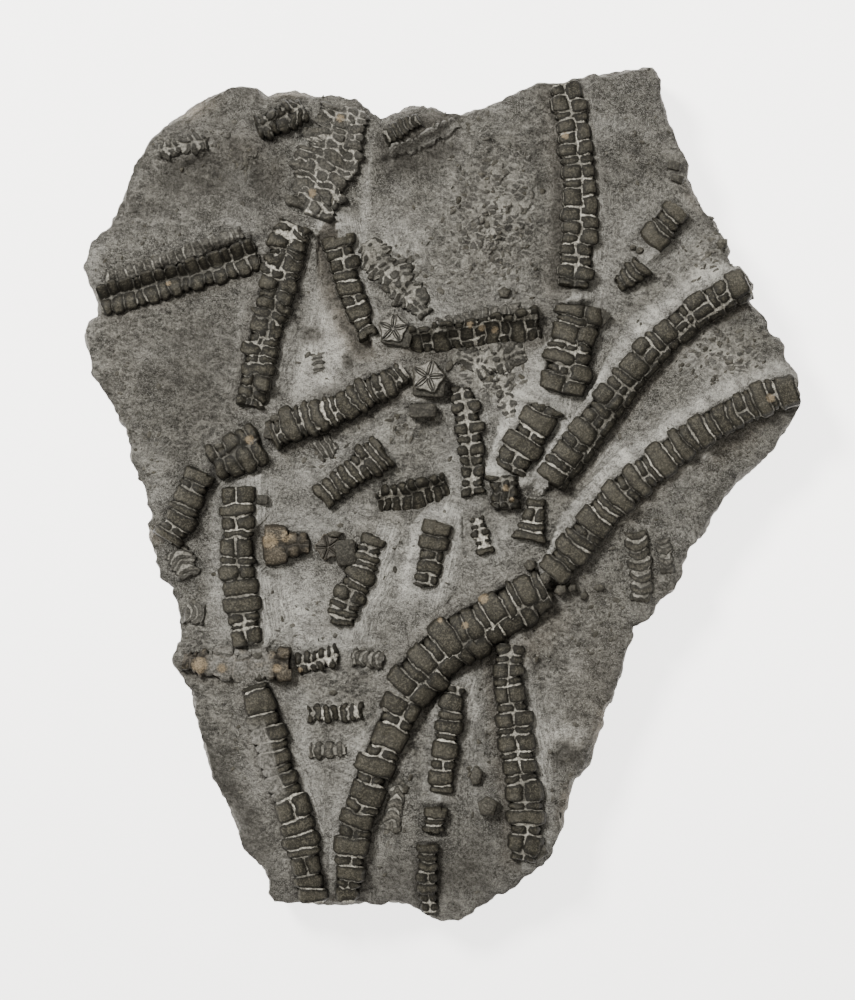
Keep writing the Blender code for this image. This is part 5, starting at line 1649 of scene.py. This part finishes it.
def lay(pattern, gx, gy, length, width, turn, rise, ground, tone, lean=(0.0, 0.0), depth=0.0016, rim=0.0,
        worn=0.0, shade=0.0):
    """A copy of a pattern laid on the stone, its top at the given rise, painted with its tone."""
    copy = pattern.copy()
    copy.data = pattern.data.copy()
    bpy.context.scene.collection.objects.link(copy)
    x, y = to_metres(gx, gy)
    own = coordinates(copy)
    shape = own * np.array([length * GRID, width * GRID, depth])
    angle = math.radians(turn)
    turned = np.stack([shape[:, 0] * math.cos(angle) - shape[:, 1] * math.sin(angle),
                       shape[:, 0] * math.sin(angle) + shape[:, 1] * math.cos(angle),
                       shape[:, 2] + shape[:, 0] * lean[0] + shape[:, 1] * lean[1]], axis=1)
    turned += np.array([x, y, ground + rise - depth / 2])
    turned[:, 2] = np.minimum(turned[:, 2], SLAB_TOP)
    move_points(copy, inside_box(turned))
    # The rim of the upper face carries a pale line, as the sutures do.
    inner = smoothstep(0.30, 0.46, own[:, 2])
    level = np.ones(len(own))
    paint(copy, "make", np.stack([inner * 0.5 + (1 - rim), tone * level, rim * level, 0 * level], axis=1))
    paint(copy, "wear_and_shade", np.stack([worn * level, shade * level, 0 * level, level], axis=1))
    return copy


def join_copies(name, copies, patterns, material):
    """Joins the laid copies into one piece and drops the patterns."""
    deselect_all()
    for copy in copies:
        copy.select_set(True)
    bpy.context.view_layer.objects.active = copies[0]
    bpy.ops.object.join()
    piece = bpy.context.object
    piece.name = name
    for pattern in patterns:
        bpy.data.objects.remove(pattern, do_unlink=True)
    finish_piece(piece, material, [], smooth=45)
    return piece


def ground_finder(slab):
    """Returns a function that gives the dressed slab's height under a place."""
    bpy.context.view_layer.update()
    tree = BVHTree.FromObject(slab, bpy.context.evaluated_depsgraph_get())

    def ground(x, y):
        where = tree.ray_cast(Vector((x, y, 0.05)), Vector((0, 0, -1)))[0]
        return where.z if where else None
    return ground


def strew_crumbs(material, slab, lie):
    draw = random.Random(20)
    ground = ground_finder(slab)
    patterns = model_plates()
    copies = []
    for gx, gy, reach_x, reach_y, count, mean in CRUMB_FIELDS:
        for _ in range(count):
            x, y = draw.gauss(gx, reach_x * 0.6), draw.gauss(gy, reach_y * 0.6)
            mx, my = to_metres(x, y)
            beyond = lie.nearest(np.array([mx]), np.array([my]))[1]
            length = mean * draw.uniform(0.5, 1.5)
            z = ground(float(mx), float(my))
            if z is None or beyond[0] < length * GRID * 0.6 or z < 0.0120:
                continue
            width = length * draw.uniform(0.30, 0.75)
            rise = draw.uniform(-0.00008, 0.00016)
            lean = (draw.uniform(-0.10, 0.10), draw.uniform(-0.10, 0.10))
            turn = draw.gauss(35, 45)
            copies.append(lay(draw.choice(patterns), x, y, length, width, turn, rise, z,
                              draw.uniform(0.3, 1.0),
                              lean, 0.0009, draw.uniform(0.3, 1.0), draw.uniform(0.0, 0.5)))
    join_copies("strewn_crumbs", copies, patterns, material)


def set_plates(material, slab):
    draw = random.Random(8)
    ground = ground_finder(slab)
    flakes, blocks = model_plates(), model_blocks()
    copies = []
    for places, patterns in ((PLATES, flakes), (BLOCKS, blocks)):
        for gx, gy, length, width, turn, rise in places:
            x, y = to_metres(gx, gy)
            z = ground(float(x), float(y)) or MATRIX_LEVEL
            copies.append(lay(draw.choice(patterns), gx, gy, length, width, turn, rise * 0.55, z,
                              draw.uniform(0.0, 0.5),
                              (draw.uniform(-0.1, 0.1), 0.0), 0.0026, 0.5 * (patterns is flakes), 0.15,
                              patterns is blocks))
    join_copies("loose_plates", copies, flakes + blocks, material)


# ---------------------------------------------------------------------------------------------
# Camera, light and floor
# ---------------------------------------------------------------------------------------------
def look_down():
    """A camera straight above, whose view is 1000 grid units tall at the stems' level."""
    distance, level, tall = 0.75, 0.017, 1000 * GRID
    x, y = to_metres(427.5, 500)
    data = bpy.data.cameras.new("camera")
    data.sensor_width = 36.0
    data.lens = data.sensor_width * distance / tall
    data.clip_start, data.clip_end = 0.01, 20.0
    camera = bpy.data.objects.new("camera", data)
    camera.location = (float(x), float(y), level + distance)
    bpy.context.scene.collection.objects.link(camera)
    bpy.context.scene.camera = camera


def soft_lamp(name, place, size, power, colour=(1.0, 1.0, 1.0)):
    data = bpy.data.lights.new(name, "AREA")
    data.shape = "DISK"
    data.size = size
    data.energy = power
    data.color = colour
    lamp = bpy.data.objects.new(name, data)
    lamp.location = place
    lamp.rotation_mode = "QUATERNION"
    lamp.rotation_quaternion = (-Vector(place)).to_track_quat("-Z", "Y")
    bpy.context.scene.collection.objects.link(lamp)


def set_studio():
    world = bpy.data.worlds.new("studio")
    bpy.context.scene.world = world
    world.use_nodes = True
    world.node_tree.nodes["Background"].inputs["Color"].default_value = (1.0, 0.958, 0.885, 1.0)
    world.node_tree.nodes["Background"].inputs["Strength"].default_value = 0.66
    soft_lamp("key lamp", (-0.66, 0.64, 1.02), 0.36, 37.0, (1.0, 0.985, 0.955))
    deselect_all()
    bpy.ops.mesh.primitive_plane_add(size=6.0, location=(0, 0, -0.00002))
    floor = bpy.context.object
    floor.name = "floor"
    floor.data.materials.append(make_paper())


def main():
    grain = make_grain_group()
    limestone = make_limestone(grain, make_debris_group())
    dark = make_calcite(grain, "dark calcite", (0.0120, 0.0109, 0.0081), (0.045, 0.0415, 0.0318),
                        (0.72, 0.69, 0.60))
    worn = make_calcite(grain, "worn calcite", (0.019, 0.0178, 0.0140), (0.076, 0.0715, 0.0600),
                        (0.54, 0.52, 0.455))
    brown = make_calcite(grain, "brown calcite", (0.020, 0.0170, 0.0125), (0.078, 0.067, 0.050),
                         (0.40, 0.36, 0.30))
    lie = Lie()
    slab = make_slab(limestone, lie)
    slab_height = ground_finder(slab)
    slots = {part["node"]: part["material_slot"] for part in frame["record"]["subparts"]}
    for number, (name, stem) in enumerate(STEMS.items()):
        slot = slots[name]
        make_stem(name, stem, number, brown if slot == "brown_calcite" else dark, slab_height)
    for number, (name, stem) in enumerate(GHOSTS.items()):
        make_stem(name, stem, 60 + number, worn, slab_height)
    for number, (name, ossicle) in enumerate(OSSICLES.items()):
        slot = slots[name]
        make_ossicle(name, ossicle, brown if slot == "brown_calcite" else dark, number)
    strew_crumbs(dark, slab, lie)
    set_plates(dark, slab)
    look_down()
    set_studio()


main()
